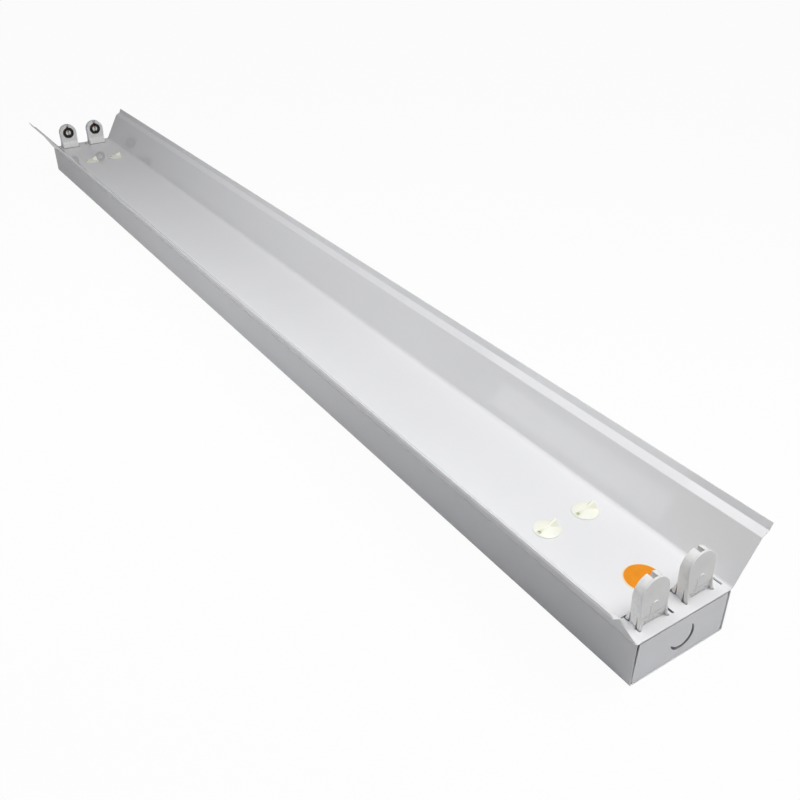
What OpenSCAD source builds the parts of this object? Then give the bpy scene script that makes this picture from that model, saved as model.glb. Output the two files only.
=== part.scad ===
// Twin tube light fixture: a sheet-steel housing with a lift-off reflector tray.
// Origin: centre of the back mounting face. +X runs along the tubes, +Z out of the lamp side.

/* [Overall] */
// Overall length of the housing and of the reflector
fixture_l = 1236; // [900:0.2:1300]
// Distance from a lampholder's front face to the end of the fixture
end_margin = 17.6; // [15:0.1:40]
// Distance between the two tube axes
lamp_pitch = 41.4; // [36:0.1:42]
// Distance from a lampholder's front face back to the turn knobs
knob_inset = 93.4; // [60:0.1:140]
// Distance from the far lampholders' faces to the far knobs
knob_inset_far = 87.4; // [60:0.1:140]
// How far both pairs of knobs sit to the right of the middle
knob_shift = 1.7; // [0:0.1:4]

/* [Housing] */
// Outside width of the housing
housing_w = 85.5; // [84:0.1:100]
// Height of the housing from the back to the top of its lips
housing_h = 35.8; // [32:0.1:50]
// Sheet thickness of the housing
housing_t = 0.7; // [0.5:0.05:1.2]
// Width of the lips folded in along the top of the side walls
lip_w = 7.5; // [4:0.1:7.5]
// Length of lip left off at each end
lip_cut = 33; // [25:0.5:60]
// Radius of the folds, to the middle of the sheet
fold_r = 1.1; // [0.8:0.05:2]
// Distance between the ceiling screw holes along the fixture
mount_pitch_x = 800; // [200:1:900]
// Distance between the ceiling screw holes across the fixture
mount_pitch_y = 40; // [20:0.5:60]
// Diameter of the ceiling screw holes
mount_hole_d = 5.5; // [3.5:0.1:8]

/* [Cable entry] */
// Distance of the cable entry from the middle of the fixture
entry_x = 60; // [20:1:100]
// Diameter of the hole for the cable bush
entry_d = 20; // [14:0.5:24]
// Bore of the cable bush
bush_bore_d = 13; // [8:0.5:13]
// Height of the cable bush above the sheet
bush_rise = 5; // [3:0.1:8]

/* [End plates] */
// Sheet thickness of the end plates
end_t = 0.7; // [0.5:0.05:1.2]
// Distance of the end plate's face from the end of the housing
end_inset = 0.5; // [0.2:0.05:2]
// Length of the flanges that the end plate is welded on by
end_flange = 10; // [6:0.1:12]
// Size of the square notches at the end plate's corners
end_notch = 1.8; // [1:0.1:3]
// Diameter of the cable knockout
knockout_d = 20.2; // [12:0.1:24]
// Height of the knockout's centre above the back
knockout_up = 18.2; // [15:0.1:20]
// Widest opening of the crescent where the knockout is sheared
knockout_gap = 1.2; // [0.6:0.05:2]
// Direction in which the crescent opens widest, in degrees below the sideways axis
knockout_turn = 65; // [0:1:90]

/* [Reflector] */
// Sheet thickness of the reflector
reflector_t = 0.6; // [0.4:0.05:1]
// Width of the flat plate between its folds
plate_w = 86.4; // [84:0.1:100]
// Sideways run of a wing's main panel
wing_run = 19.6; // [10:0.1:40]
// Height of a wing's main panel
wing_rise = 33.5; // [20:0.1:45]
// Sideways run of the flatter band near a wing's edge
band_run = 5.9; // [3:0.1:12]
// Height of that band
band_rise = 3.4; // [1:0.1:6]
// Sideways run of the edge strip
edge_run = 2.6; // [1:0.1:6]
// Height of the edge strip
edge_rise = 5.3; // [3:0.1:10]
// Radius of the fold between the plate and a wing
wing_fold_r = 4.5; // [1.5:0.1:5]

/* [Brackets] */
// Length of a bracket along the fixture
bracket_l = 24; // [18:0.5:40]
// Sheet thickness of a bracket
bracket_t = 0.9; // [0.6:0.05:1.5]
// Width of the gap between a bracket's two towers, where the wires pass
bracket_dip_w = 17; // [14:0.5:19]
// Depth of that gap below the towers
bracket_dip = 12; // [8:0.5:16]
// Outside width of a bracket over its towers
bracket_w = 58; // [52:0.5:62]
// Length of the feet spot-welded to the back
bracket_foot = 7; // [4:0.5:9]

/* [Turn knobs] */
// Distance between the two knobs of a pair
knob_pitch = 36; // [34:0.1:40]
// Diameter of a knob's head
knob_d = 20; // [16:0.1:24]
// Height of the head's crown above the plate
knob_crown = 2.6; // [2:0.1:6]
// Radius of the head's dome
knob_dome_r = 26; // [16:0.5:40]
// Height of the finger fin above the plate
fin_h = 6.4; // [5:0.1:10]
// Width of the finger fin
fin_w = 5.6; // [3:0.1:8]
// Diameter of a knob's shank
shank_d = 6; // [4:0.1:7]
// Length of the shank below the plate's top
shank_l = 13; // [10:0.1:18]

/* [Lampholders] */
// Width of a lampholder over its arch
holder_w = 24.6; // [22:0.1:26]
// Width of a lampholder where it meets the plate
holder_base_w = 22.7; // [20:0.1:24.6]
// Height of the tube axis above the plate
axis_h = 22.2; // [20:0.1:26]
// Depth of a lampholder at the plate
holder_depth = 10; // [9:0.1:13]
// Depth of a lampholder at its top
holder_top_depth = 7.1; // [6.8:0.1:9]
// Thickness of the lampholder's outer cover
cover_t = 1.5; // [1:0.1:2]
// Width of the notch that the tube's pins enter by
pin_notch_w = 3; // [2.6:0.1:3.4]
// Reach of the front spring flap towards the tube, at the plate
flap_reach = 3.1; // [1:0.1:3.8]
// Height of the front spring flap
flap_h = 8.5; // [6:0.1:11]
// Reach of the cover's spring fingers past its sides, at the plate
finger_reach = 1.1; // [0.4:0.1:2]
// Height of those fingers
finger_h = 11; // [9:0.1:14]
// How far the cover's middle is drawn in between its fingers, at the plate
cover_hollow = 2.2; // [0:0.1:2.4]
// Depth of the foot below the plate's top
foot_depth = 9; // [7:0.1:12]

/* [Rotors] */
// Diameter of the rotor's recess
recess_d = 16.4; // [15:0.1:17]
// Depth of the rotor's recess
recess_depth = 3.6; // [3:0.1:4]
// Diameter of the split hub inside the rotor
hub_d = 7.4; // [5:0.1:8]
// Radial running clearance of the rotor
rotor_fit = 0.05; // [0.02:0.01:0.1]

/* [Label] */
// Diameter of the round label
label_d = 26.8; // [15:0.1:30]
// Distance of the label's centre from the lampholders' front faces
label_inset = 21.9; // [20:0.1:60]
// Sideways place of the label's centre
label_y = 3.3; // [-20:0.1:20]
// Thickness of the label
label_t = 0.2; // [0.1:0.05:0.4]

/* [Wiring] */
// Distance of the terminal block from the middle of the fixture
block_x = 140; // [120:1:200]
// Length of the terminal block
block_l = 36; // [30:0.5:50]
// Width of the terminal block
block_w = 26; // [24:0.5:30]
// Height of the terminal block
block_h = 14; // [12:0.5:18]
// Distance between the block's poles
pole_pitch = 8; // [7:0.1:9]
// Diameter of a wire over its insulation
wire_d = 2.4; // [1.6:0.1:2.8]
// Distance between the two wires of a pair
wire_pitch = 6; // [4:0.1:8]
// Distance from the middle of the fixture to the first wire clip
clip_start = 210; // [200:1:230]
// Distance from one wire clip to the next
clip_step = 100; // [60:1:120]
// Number of wire clips on each side
clip_count = 3; // [1:1:3]

/* [Hidden] */
$fn = 48;

// The two ends along X and the two sides along Y
near = 1;
far = -1;
left = -1;
right = 1;
// Straight pieces in one rounded fold
fold_steps = 5;
// Overrun of every cut past the solid it cuts
cut = 1;

// Levels and places worked out from the driving sizes
seat_gap = 0.1;
lamp_gap = fixture_l - 2 * end_margin;
plate_under = housing_h + seat_gap;
plate_top = plate_under + reflector_t;
wall_y = housing_w / 2 - housing_t;

// Slots in the reflector for the lampholders, and the short slit beside each one
slot_front = 0.45;
slot_back = 1.7;
slot_side = 0.8;
slot_fit = 0.1;
slot_ear = 1.8;
slot_ear_l = 0.8;
slit_past = 1;
slit_w = 1.7;
slit_l = 9;
slit_from_left_axis = 15.6;
slit_from_right_axis = 19.5;

// Fit of the end plate under the reflector
end_top_gap = 1;

// Housing stud: M4 with washer and nut
stud_d = 4;
stud_l = 12;
stud_fit = 0.1;
stud_washer_d = 9;
stud_washer_t = 0.8;
stud_nut_d = 8.1;
stud_nut_t = 3.2;
housing_stud_x = 100;
housing_stud_y = -25;

// Tray stud, and the lug clamped on it
tray_stud_x = 26;
tray_stud_y = 14;
lug_d = 8;
lug_t = 0.8;
lug_tongue_w = 3.4;
lug_barrel_d = 3.8;
lug_barrel_l = 8;
lug_barrel_start = 5.5;
lug_grip = 4;
lug_fit = 0.05;

// Cable bush
bush_fit = 0.1;
bush_flange = 3;
bush_flange_t = 1.6;
bush_collar = 1.6;

// Bracket: room for the retainers over its pads, and the shank's clearance in its holes
retainer_t = 0.8;
retainer_d = 12;
retainer_gap = 0.2;
retainer_fit = 0.1;
pad_top = plate_under - retainer_t - retainer_gap;
bracket_fold_r = 1.6;
bracket_hole_fit = 0.3;

// Knob: dent, rib, fin and split shank
shank_fit = 0.08;
shank_split = 1;
shank_split_l = 8;
shank_tip = 2;
rib_w = 2.4;
rib_over = 0.7;
dent_r = 2;
fin_toe = 1.4;
fin_lean = 2.2;

// Lampholder: arch, lean of the cover, slits, flap, hooks and pockets
arch_r = holder_w / 2;
holder_h = axis_h + arch_r;
cover_lean = (holder_depth - holder_top_depth) / holder_h;
flap_rise = 9.6;
flap_bulge = 0.85;
flap_steps = 8;
foot_slit_start = 6.6;
foot_slit_past = 1;
foot_slit_fit = 0.75;
front_slit_x = 0.62;
front_slit_bow = 0.4;
front_slit_w = 0.9;
front_slit_top = flap_h - 0.3;
neck_front = 1.3;
neck_back = 5.9;
neck_lean = 0.3;
neck_side = 1;
hook_reach = 1.6;
hook_t = 1.2;
pocket_front = recess_depth + 0.8;
pocket_w = 19;
pocket_drop = 12;
pocket_lift = 5;
tail_pocket_w = 3;
seam_y = -3.7;
seam_top = 16.4;
seam_w = 0.35;
seam_depth = 0.3;
ledge_up = 7.6;
release_d = 1.3;
release_up = 3.8;
release_left_share = -0.65;
release_right_share = 0.52;
nib_d = 4;
nib_h = 0.5;
nib_up = 16.2;
finger_w = 1.3;
finger_back = 0.6;
finger_top = max(finger_h, flap_h + 1);
finger_gap = 0.2;
back_slit_w = 2.1;
cover_side = 0.85;
cover_foot_gap = 0.05;
rim_t = 0.5;
rim_step = 0.45;

// Rotor: axial gaps, slot and the web that joins its two halves
rotor_gap = 0.1;
rotor_set_back = 0.3;
rotor_web = 0.8;
rotor_slot_w = 2.8;
hub_fit = 0.1;

// Contacts: leaf, tail and the windows in the recess floor
leaf_t = 0.5;
leaf_gap = 0.9;
leaf_w = 7.2;
leaf_drop = 3.4;
leaf_lift = 4.2;
leaf_fit = 0.1;
tail_w = 1.8;
tail_y = 4;
tail_drop = 6.4;
window_d = 2.6;
pin_circle_r = 6.35;

// Terminal block: entries, two to a pole on each face, and screws
block_entry_pitch = 4;
block_entry_up = 4.6;
block_entry_fit = 0.3;
block_entry_depth = 7;
block_screw_d = 3.8;
block_screw_t = 2.4;
block_screw_fit = 0.1;
block_screw_inset = 8;
screw_slot = 0.8;

// Wires: levels under the plate, straight leads and end gaps, and the clips
wire_fit = 0.15;
wire_drop = 1;
wire_z = plate_under - wire_d / 2 - wire_drop;
wire_up = 4.8;
wire_tip_gap = 0.3;
wire_bend = 5;
bend_steps = 4;
wire_sides = 8;
turn_out = 10;
turn_slope = 20;
holder_lead = 12;
holder_spread = 22;
clip_l = 8;
clip_side = 3;
clip_floor = 1;

// Vector helpers
function unit(v) = v / norm(v);
function left_of(v) = [-v[1], v[0]];
function turned(v, a) = [v[0] * cos(a) - v[1] * sin(a), v[0] * sin(a) + v[1] * cos(a)];

// Points of a rounded fold at b on the way from a to c, each with the sheet's left-hand normal
function fold_at(a, b, c, r) =
    let (
        into = unit(b - a),
        out = unit(c - b),
        turn = atan2(into[0] * out[1] - into[1] * out[0], into * out),
        side = sign(turn),
        centre = b - into * r * tan(abs(turn) / 2) + left_of(into) * side * r
    )
    [for (i = [0 : fold_steps])
        let (normal = turned(left_of(into), turn * i / fold_steps))
        [centre - normal * side * r, normal]];

// Stations along a folded strip whose corner i has the fold radius radii[i]
function stations(pts, radii) =
    let (last = len(pts) - 1)
    concat(
        [[pts[0], left_of(unit(pts[1] - pts[0]))]],
        [for (i = [1 : last - 1]) each fold_at(pts[i - 1], pts[i], pts[i + 1], radii[i])],
        [[pts[last], left_of(unit(pts[last] - pts[last - 1]))]]
    );

// Closed outline of a folded strip of thickness t
function strip(pts, radii, t) =
    let (s = stations(pts, radii))
    concat(
        [for (q = s) q[0] + q[1] * t / 2],
        [for (i = [len(s) - 1 : -1 : 0]) s[i][0] - s[i][1] * t / 2]
    );

// A line drawn for the right side only, continued to the left as its mirror image
function both_sides(line) =
    let (last = len(line) - 1)
    concat([for (i = [last : -1 : 0]) [-line[i][0], line[i][1]]], line);

// A YZ outline extruded along X, centred on the middle of the fixture
module along_x(l) {
    rotate([90, 0, 90]) linear_extrude(height = l, center = true) children();
}

// A box from its lowest corner to its highest corner
module block_between(low, high) {
    translate(low) cube(high - low);
}

// Places of the repeated pieces
module at_end(end) {
    rotate([0, 0, end == near ? 0 : 180]) children();
}
module at_holder(end, side) {
    translate([end * lamp_gap / 2, side * lamp_pitch / 2, plate_top]) at_end(end) children();
}
function knob_at(end) = end * (lamp_gap / 2 - (end == near ? knob_inset : knob_inset_far));
module at_knob(end, side) {
    translate([knob_at(end), side * knob_pitch / 2 + knob_shift, plate_top]) children();
}
function from_holder(end, side, p) =
    [end * (lamp_gap / 2 + p[0]), side * lamp_pitch / 2 + end * p[1], plate_top + p[2]];

// Housing
module housing_channel() {
    half = (housing_w - housing_t) / 2;
    low = housing_t / 2;
    high = housing_h - housing_t / 2;
    lip = housing_w / 2 - lip_w;
    line = [[-lip, high], [-half, high], [-half, low], [half, low], [half, high], [lip, high]];
    color("whitesmoke") difference() {
        along_x(fixture_l) polygon(strip(line, [for (p = line) fold_r], housing_t));
        for (end = [near, far]) at_end(end)
            block_between(
                [fixture_l / 2 - lip_cut, -wall_y, housing_h - fold_r - housing_t],
                [fixture_l / 2 + cut, wall_y, housing_h + cut]);
        for (x = [-1, 1], y = [-1, 1])
            translate([x * mount_pitch_x / 2, y * mount_pitch_y / 2, -cut])
                cylinder(d = mount_hole_d, h = housing_t + 2 * cut);
        translate([entry_x, 0, -cut]) cylinder(d = entry_d, h = housing_t + 2 * cut);
    }
}

// End plate: a folded strip standing on the back sheet, with a sheared knockout
module end_plate(end) {
    face_x = fixture_l / 2 - end_inset - end_t / 2;
    side_y = wall_y - end_t / 2;
    back_x = face_x - end_flange;
    line = [[back_x, -side_y], [face_x, -side_y], [face_x, side_y], [back_x, side_y]];
    top = housing_h - end_top_gap;
    color("gainsboro") at_end(end) difference() {
        translate([0, 0, housing_t])
            linear_extrude(height = top - housing_t) polygon(strip(line, [for (p = line) fold_r], end_t));
        for (y = [-wall_y, wall_y], z = [housing_t, top])
            block_between(
                [back_x - cut, y - end_notch, z - end_notch],
                [fixture_l / 2 + cut, y + end_notch, z + end_notch]);
        knockout_crescent(face_x);
    }
}

// The crescent between the disc and the same circle punched a little to one side
module knockout_crescent(face_x) {
    translate([face_x - end_t / 2 - cut, 0, knockout_up]) rotate([90, 0, 90]) difference() {
        rotate([0, 0, -knockout_turn]) translate([knockout_gap, 0, 0])
            cylinder(d = knockout_d, h = end_t + 2 * cut);
        translate([0, 0, -cut]) cylinder(d = knockout_d, h = end_t + 4 * cut);
    }
}

// Bracket: a folded strip with two towers that the knobs lock into
module bracket(end) {
    low = housing_t + bracket_t / 2;
    high = pad_top - bracket_t / 2;
    inner = (bracket_dip_w + bracket_t) / 2;
    outer = (bracket_w - bracket_t) / 2;
    line = both_sides([[inner, high - bracket_dip], [inner, high], [outer, high], [outer, low],
        [outer + bracket_foot, low]]);
    color("silver") difference() {
        translate([knob_at(end), 0, 0]) along_x(bracket_l)
            polygon(strip(line, [for (p = line) bracket_fold_r], bracket_t));
        for (side = [left, right]) at_knob(end, side)
            translate([0, 0, -(plate_top - pad_top) - bracket_t - cut])
                cylinder(d = shank_d + 2 * bracket_hole_fit, h = bracket_t + 2 * cut);
    }
}

// Bush for the supply cable, flush with the back
module cable_bush() {
    color("dimgray") translate([entry_x, 0, 0]) difference() {
        union() {
            cylinder(d = entry_d - bush_fit, h = housing_t + bush_rise / 2);
            translate([0, 0, housing_t]) cylinder(d = entry_d + 2 * bush_flange, h = bush_flange_t);
            cylinder(d = bush_bore_d + 2 * bush_collar, h = housing_t + bush_rise);
        }
        translate([0, 0, -cut]) cylinder(d = bush_bore_d, h = housing_t + bush_rise + 2 * cut);
    }
}

// Threaded stud with washer and nut, standing on z = 0 along +Z, with room to clamp a lug
module earth_stud(clamped) {
    cylinder(d = stud_d, h = stud_l);
    translate([0, 0, clamped]) difference() {
        cylinder(d = stud_washer_d, h = stud_washer_t);
        translate([0, 0, -cut]) cylinder(d = stud_d + stud_fit, h = stud_washer_t + 2 * cut);
    }
    translate([0, 0, clamped + stud_washer_t]) difference() {
        cylinder(d = stud_nut_d, h = stud_nut_t, $fn = 6);
        translate([0, 0, -cut]) cylinder(d = stud_d + stud_fit, h = stud_nut_t + 2 * cut);
    }
}
module housing_earth_stud() {
    color("goldenrod") translate([housing_stud_x, housing_stud_y, housing_t]) earth_stud(0);
}
module tray_earth_stud() {
    color("goldenrod") translate([tray_stud_x, tray_stud_y, plate_under]) mirror([0, 0, 1])
        earth_stud(lug_t);
}

// Reflector: flat plate with flared wings, a flatter band and a steep edge strip
module reflector() {
    level = plate_top - reflector_t / 2;
    base = plate_w / 2;
    line = both_sides([
        [base, level],
        [base + wing_run, level + wing_rise],
        [base + wing_run + band_run, level + wing_rise + band_rise],
        [base + wing_run + band_run + edge_run, level + wing_rise + band_rise + edge_rise]]);
    radii = [for (p = line) abs(p[0]) > base ? fold_r : wing_fold_r];
    color("white") difference() {
        along_x(fixture_l) polygon(strip(line, radii, reflector_t));
        for (end = [near, far], side = [left, right]) {
            at_holder(end, side) holder_slot();
            at_knob(end, side) translate([0, 0, -reflector_t - cut])
                cylinder(d = shank_d + 2 * shank_fit, h = reflector_t + 2 * cut);
        }
        for (end = [near, far]) {
            at_holder(end, end * left) side_slit(slit_from_left_axis);
            at_holder(end, end * right) side_slit(slit_from_right_axis);
        }
    }
}

// Opening for a lampholder, and the short slit to the right of it
module holder_slot() {
    half = holder_base_w / 2;
    block_between(
        [-flap_reach - slot_front, -half - slot_side, -reflector_t - cut],
        [front_slit_x, half + slot_side, cut]);
    block_between(
        [-flap_reach - slot_front - slot_ear_l, -half - slot_side - slot_ear, -reflector_t - cut],
        [-flap_reach - slot_front + cut, half + slot_side + slot_ear, cut]);
    block_between(
        [-flap_reach - slot_front, -half - slot_fit, -reflector_t - cut],
        [neck_back + slot_back, half + slot_fit, cut]);
    foot = half + finger_reach + foot_slit_fit;
    for (y = [-foot, half]) block_between(
        [foot_slit_start, y, -reflector_t - cut],
        [holder_depth + foot_slit_past, y + finger_reach + foot_slit_fit, cut]);
}
module side_slit(y) {
    reach = holder_depth + slit_past;
    block_between([reach - slit_l, y, -reflector_t - cut], [reach, y + slit_w, cut]);
}

// Arched front outline of a lampholder, inset all round, drawn in the YZ plane
module arch_outline(inset) {
    base = holder_base_w / 2 - inset;
    shoulder = arch_r - inset;
    polygon([[-base, -reflector_t], [base, -reflector_t], [shoulder, axis_h], [-shoulder, axis_h]]);
    translate([0, axis_h]) circle(r = shoulder);
}

// Depth of the cover's outer face at height z, and of the same face moved in by inset
function cover_x(z, inset) = holder_depth - cover_lean * z - inset;

// Side outline in the XZ plane of a leaning slab between two insets
module leaning_slab(inset_out, inset_in) {
    low = -reflector_t;
    high = holder_h + cut;
    rotate([90, 0, 0]) linear_extrude(height = 2 * holder_w, center = true) polygon([
        [cover_x(low, inset_out), low], [cover_x(high, inset_out), high],
        [cover_x(high, inset_in), high], [cover_x(low, inset_in), low]]);
}

// Side outline of the lampholder body: block, neck through the plate, and the solid spring flap with
// the bowed slit behind it
function flap_x(z) = -flap_reach * pow(1 - z / flap_rise, flap_bulge);
function slit_x(z) = front_slit_x - front_slit_bow * pow(z / (0.6 * flap_h) - 1, 2);
function slit_half(z) = front_slit_w / 2 * sqrt(max(0, 1 - pow(z / front_slit_top, 3)));
module body_side() {
    top = holder_h + cut;
    flap_z = [for (i = [0 : flap_steps]) flap_rise * i / flap_steps];
    slit_z = [for (i = [0 : flap_steps - 1]) front_slit_top * i / flap_steps];
    rotate([90, 0, 0]) linear_extrude(height = 2 * holder_w, center = true) polygon(concat(
        [for (z = flap_z) [flap_x(z), z]],
        [[0, top], [cover_x(top, cover_t), top], [cover_x(flap_h, cover_t), flap_h]],
        [[neck_back + neck_lean, flap_h], [neck_back, 0], [neck_back, -reflector_t]],
        [[neck_front, -reflector_t], [neck_front, 0]],
        [for (z = slit_z) [slit_x(z) + slit_half(z), z]],
        [[slit_x(front_slit_top), front_slit_top]],
        [for (i = [flap_steps - 1 : -1 : 0]) [slit_x(slit_z[i]) - slit_half(slit_z[i]), slit_z[i]]]));
}

// Body: front shell, split hub, entry notch, neck, foot and snap hooks
module holder_body(end, side) {
    color("floralwhite") at_holder(end, side) difference() {
        union() {
            difference() {
                intersection() {
                    rotate([90, 0, 90]) translate([0, 0, -flap_reach - cut])
                        linear_extrude(height = 2 * holder_depth) arch_outline(0);
                    body_side();
                }
                at_axis() cylinder(d = recess_d, h = 2 * recess_depth, center = true);
            }
            at_axis() cylinder(d = hub_d, h = recess_depth);
            holder_foot();
        }
        block_between([-cut, -pin_notch_w / 2, axis_h], [2 * holder_depth, pin_notch_w / 2, holder_h + cut]);
        block_between(
            [-cut, -pin_notch_w / 2, axis_h - recess_d / 2],
            [recess_depth, pin_notch_w / 2, axis_h + recess_d / 2]);
        contact_pocket();
        for (y = [-pin_circle_r, pin_circle_r]) at_axis() translate([y, 0, 0])
            cylinder(d = window_d, h = 2 * recess_depth);
        translate([neck_front - cut, tail_y, -wire_up]) rotate([0, 90, 0])
            cylinder(d = wire_d + 2 * wire_fit, h = pocket_front - neck_front + 2 * cut);
    }
}

// Moves a Z cylinder onto the tube axis, with its base on the front face and its X along Y
module at_axis() {
    translate([0, 0, axis_h]) rotate([90, 0, 90]) children();
}

// Pocket for the contacts, open to the cover, with a narrow channel for each tail
module contact_pocket() {
    block_between(
        [pocket_front, -pocket_w / 2, axis_h - pocket_drop],
        [2 * holder_depth, pocket_w / 2, axis_h + pocket_lift]);
    for (y = [-tail_y, tail_y])
        block_between(
            [pocket_front, y - tail_pocket_w / 2, -tail_drop - leaf_fit],
            [pocket_front + leaf_t + 2 * leaf_fit, y + tail_pocket_w / 2, axis_h]);
}

// Neck and foot below the plate, with a hook on each side
module holder_foot() {
    half = holder_base_w / 2 - neck_side;
    grip = holder_base_w / 2 + slot_side + hook_reach;
    block_between([neck_front, -half, -foot_depth], [neck_back, half, 0]);
    translate([neck_front, 0, 0]) rotate([90, 0, 90]) linear_extrude(height = neck_back - neck_front)
        polygon([
            [grip, -reflector_t], [grip, -reflector_t - hook_t], [half, -reflector_t - 2 * hook_t],
            [-half, -reflector_t - 2 * hook_t], [-grip, -reflector_t - hook_t], [-grip, -reflector_t]]);
}

// Cover: leaning outer plate, drawn in between two corner fingers at its foot, with a seam, a ledge
// line, release holes and a raised nib
module holder_cover(end, side) {
    color("ivory") at_holder(end, side) difference() {
        union() {
            intersection() {
                arch_slab(0);
                cover_slab(rim_t, cover_t, flap_h);
            }
            intersection() {
                arch_slab(rim_step);
                cover_slab(0, rim_t, flap_h);
            }
            intersection() {
                arch_slab(cover_side);
                cover_slab(0, cover_t, cover_foot_gap);
            }
            intersection() {
                translate([0, 0, nib_up]) rotate([0, 90, 0]) cylinder(d = nib_d, h = 2 * holder_depth);
                leaning_slab(-nib_h, cover_t);
                block_between([0, -holder_w, nib_up], [2 * holder_depth, holder_w, holder_h]);
            }
            intersection() {
                rotate([90, 0, 90]) linear_extrude(height = 2 * holder_depth) finger_outlines();
                finger_side();
            }
        }
        intersection() {
            cover_slab(-cut, seam_depth, 0);
            union() {
                block_between(
                    [0, seam_y - seam_w / 2, -cut],
                    [2 * holder_depth, seam_y + seam_w / 2, seam_top]);
                block_between([0, -holder_w, ledge_up], [2 * holder_depth, holder_w, ledge_up + seam_w]);
            }
        }
        for (share = [release_left_share, release_right_share])
            translate([0, share * holder_base_w / 2, release_up]) rotate([0, 90, 0])
                cylinder(d = release_d, h = 2 * holder_depth);
    }
}

// Depth of the cover's middle at height z, drawn in towards the plate below the fingers' top
function middle_x(z, inset) = cover_x(z, inset) - cover_hollow * max(0, 1 - z / finger_top);

// Side outline in the XZ plane of the cover's middle between two insets, from a lowest height up
module cover_slab(inset_out, inset_in, low) {
    high = holder_h + cut;
    heights = [low, if (low < flap_h) flap_h, finger_top, high];
    count = len(heights);
    rotate([90, 0, 0]) linear_extrude(height = 2 * holder_w, center = true) polygon(concat(
        [for (z = heights) [middle_x(z, inset_out), z]],
        [for (i = [count - 1 : -1 : 0]) heights[i] < flap_h
            ? [middle_x(heights[i], inset_in), heights[i]] : [cover_x(heights[i], inset_in), heights[i]]]));
}

// Spring fingers at the cover's corners, which flare down to the plate: their outlines in the YZ plane,
// and their side in the XZ plane, which starts in front of the cover under the body
module finger_outlines() {
    base = holder_base_w / 2;
    root = base + (arch_r - base) * finger_top / axis_h;
    for (m = [0, 1]) mirror([m, 0]) polygon([
        [root - finger_w, finger_top], [root, finger_top], [base + finger_reach, cover_foot_gap],
        [base + finger_reach - finger_w, cover_foot_gap]]);
}
module finger_side() {
    under = flap_h - finger_gap;
    rotate([90, 0, 0]) linear_extrude(height = 2 * holder_w, center = true) polygon([
        [neck_back + back_slit_w, cover_foot_gap], [neck_back + neck_lean + finger_gap, under],
        [cover_x(under, cover_t), under], [cover_x(finger_top, cover_t), finger_top],
        [cover_x(finger_top, 0), finger_top], [holder_depth + finger_back, cover_foot_gap]]);
}
module arch_slab(inset) {
    rotate([90, 0, 90]) linear_extrude(height = 2 * holder_depth) arch_outline(inset);
}

// Rotor: a ring with two pin slots, turning between the recess and the hub
module rotor(end, side) {
    back = recess_depth - rotor_gap;
    color("dimgray") at_holder(end, side) difference() {
        at_axis() translate([0, 0, rotor_set_back])
            cylinder(d = recess_d - 2 * rotor_fit, h = back - rotor_set_back);
        at_axis() cylinder(d = hub_d + 2 * hub_fit, h = 2 * recess_depth);
        block_between(
            [-cut, -rotor_slot_w / 2, axis_h - recess_d],
            [back - rotor_web, rotor_slot_w / 2, axis_h + recess_d]);
    }
}

// Contacts: two bronze leaves behind the recess, each with a tail down to the foot
module contacts(end, side) {
    front = pocket_front + leaf_fit;
    color("peru") at_holder(end, side) for (m = [0, 1]) mirror([0, m, 0]) {
        block_between(
            [front, leaf_gap / 2, axis_h - leaf_drop],
            [front + leaf_t, leaf_gap / 2 + leaf_w, axis_h + leaf_lift]);
        block_between(
            [front, tail_y - tail_w / 2, -tail_drop],
            [front + leaf_t, tail_y + tail_w / 2, axis_h - leaf_drop]);
    }
}

// Turn knob: domed head with a rib and a finger fin, on a split shank
module knob(end, side) {
    r = knob_d / 2;
    color("cornsilk") at_knob(end, side) {
        difference() {
            union() {
                intersection() {
                    translate([0, 0, knob_crown - knob_dome_r]) sphere(r = knob_dome_r);
                    cylinder(r = r, h = knob_crown);
                }
                translate([-rib_w / 2, -r + dent_r, 0])
                    cube([rib_w, 2 * (r - dent_r), knob_crown + rib_over]);
                knob_fin(r);
            }
            translate([0, -r + 2 * dent_r, knob_crown + rib_over]) sphere(r = dent_r);
        }
        difference() {
            translate([0, 0, -shank_l]) {
                cylinder(d1 = shank_d - shank_tip, d2 = shank_d, h = shank_tip);
                translate([0, 0, shank_tip]) cylinder(d = shank_d, h = shank_l - shank_tip);
            }
            translate([-shank_split / 2, -shank_d, -shank_l - cut])
                cube([shank_split, 2 * shank_d, shank_split_l + cut]);
        }
    }
}
module knob_fin(r) {
    translate([-fin_w / 2, 0, 0]) rotate([90, 0, 90]) linear_extrude(height = fin_w)
        polygon([[r / 3, knob_crown / 2], [r / 3, knob_crown], [r - 2 * fin_lean, fin_h],
            [r - fin_toe, fin_h], [r - fin_toe / 2, knob_crown / 2]]);
}
module knob_retainers() {
    color("silver") for (end = [near, far], side = [left, right]) at_knob(end, side)
        translate([0, 0, -reflector_t - retainer_t]) difference() {
            cylinder(d = retainer_d, h = retainer_t);
            translate([0, 0, -cut]) cylinder(d = shank_d + 2 * retainer_fit, h = retainer_t + 2 * cut);
        }
}

// Plain round label on the plate
module round_label() {
    color("orange") translate([lamp_gap / 2 - label_inset, label_y, plate_top])
        cylinder(d = label_d, h = label_t);
}

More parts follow.
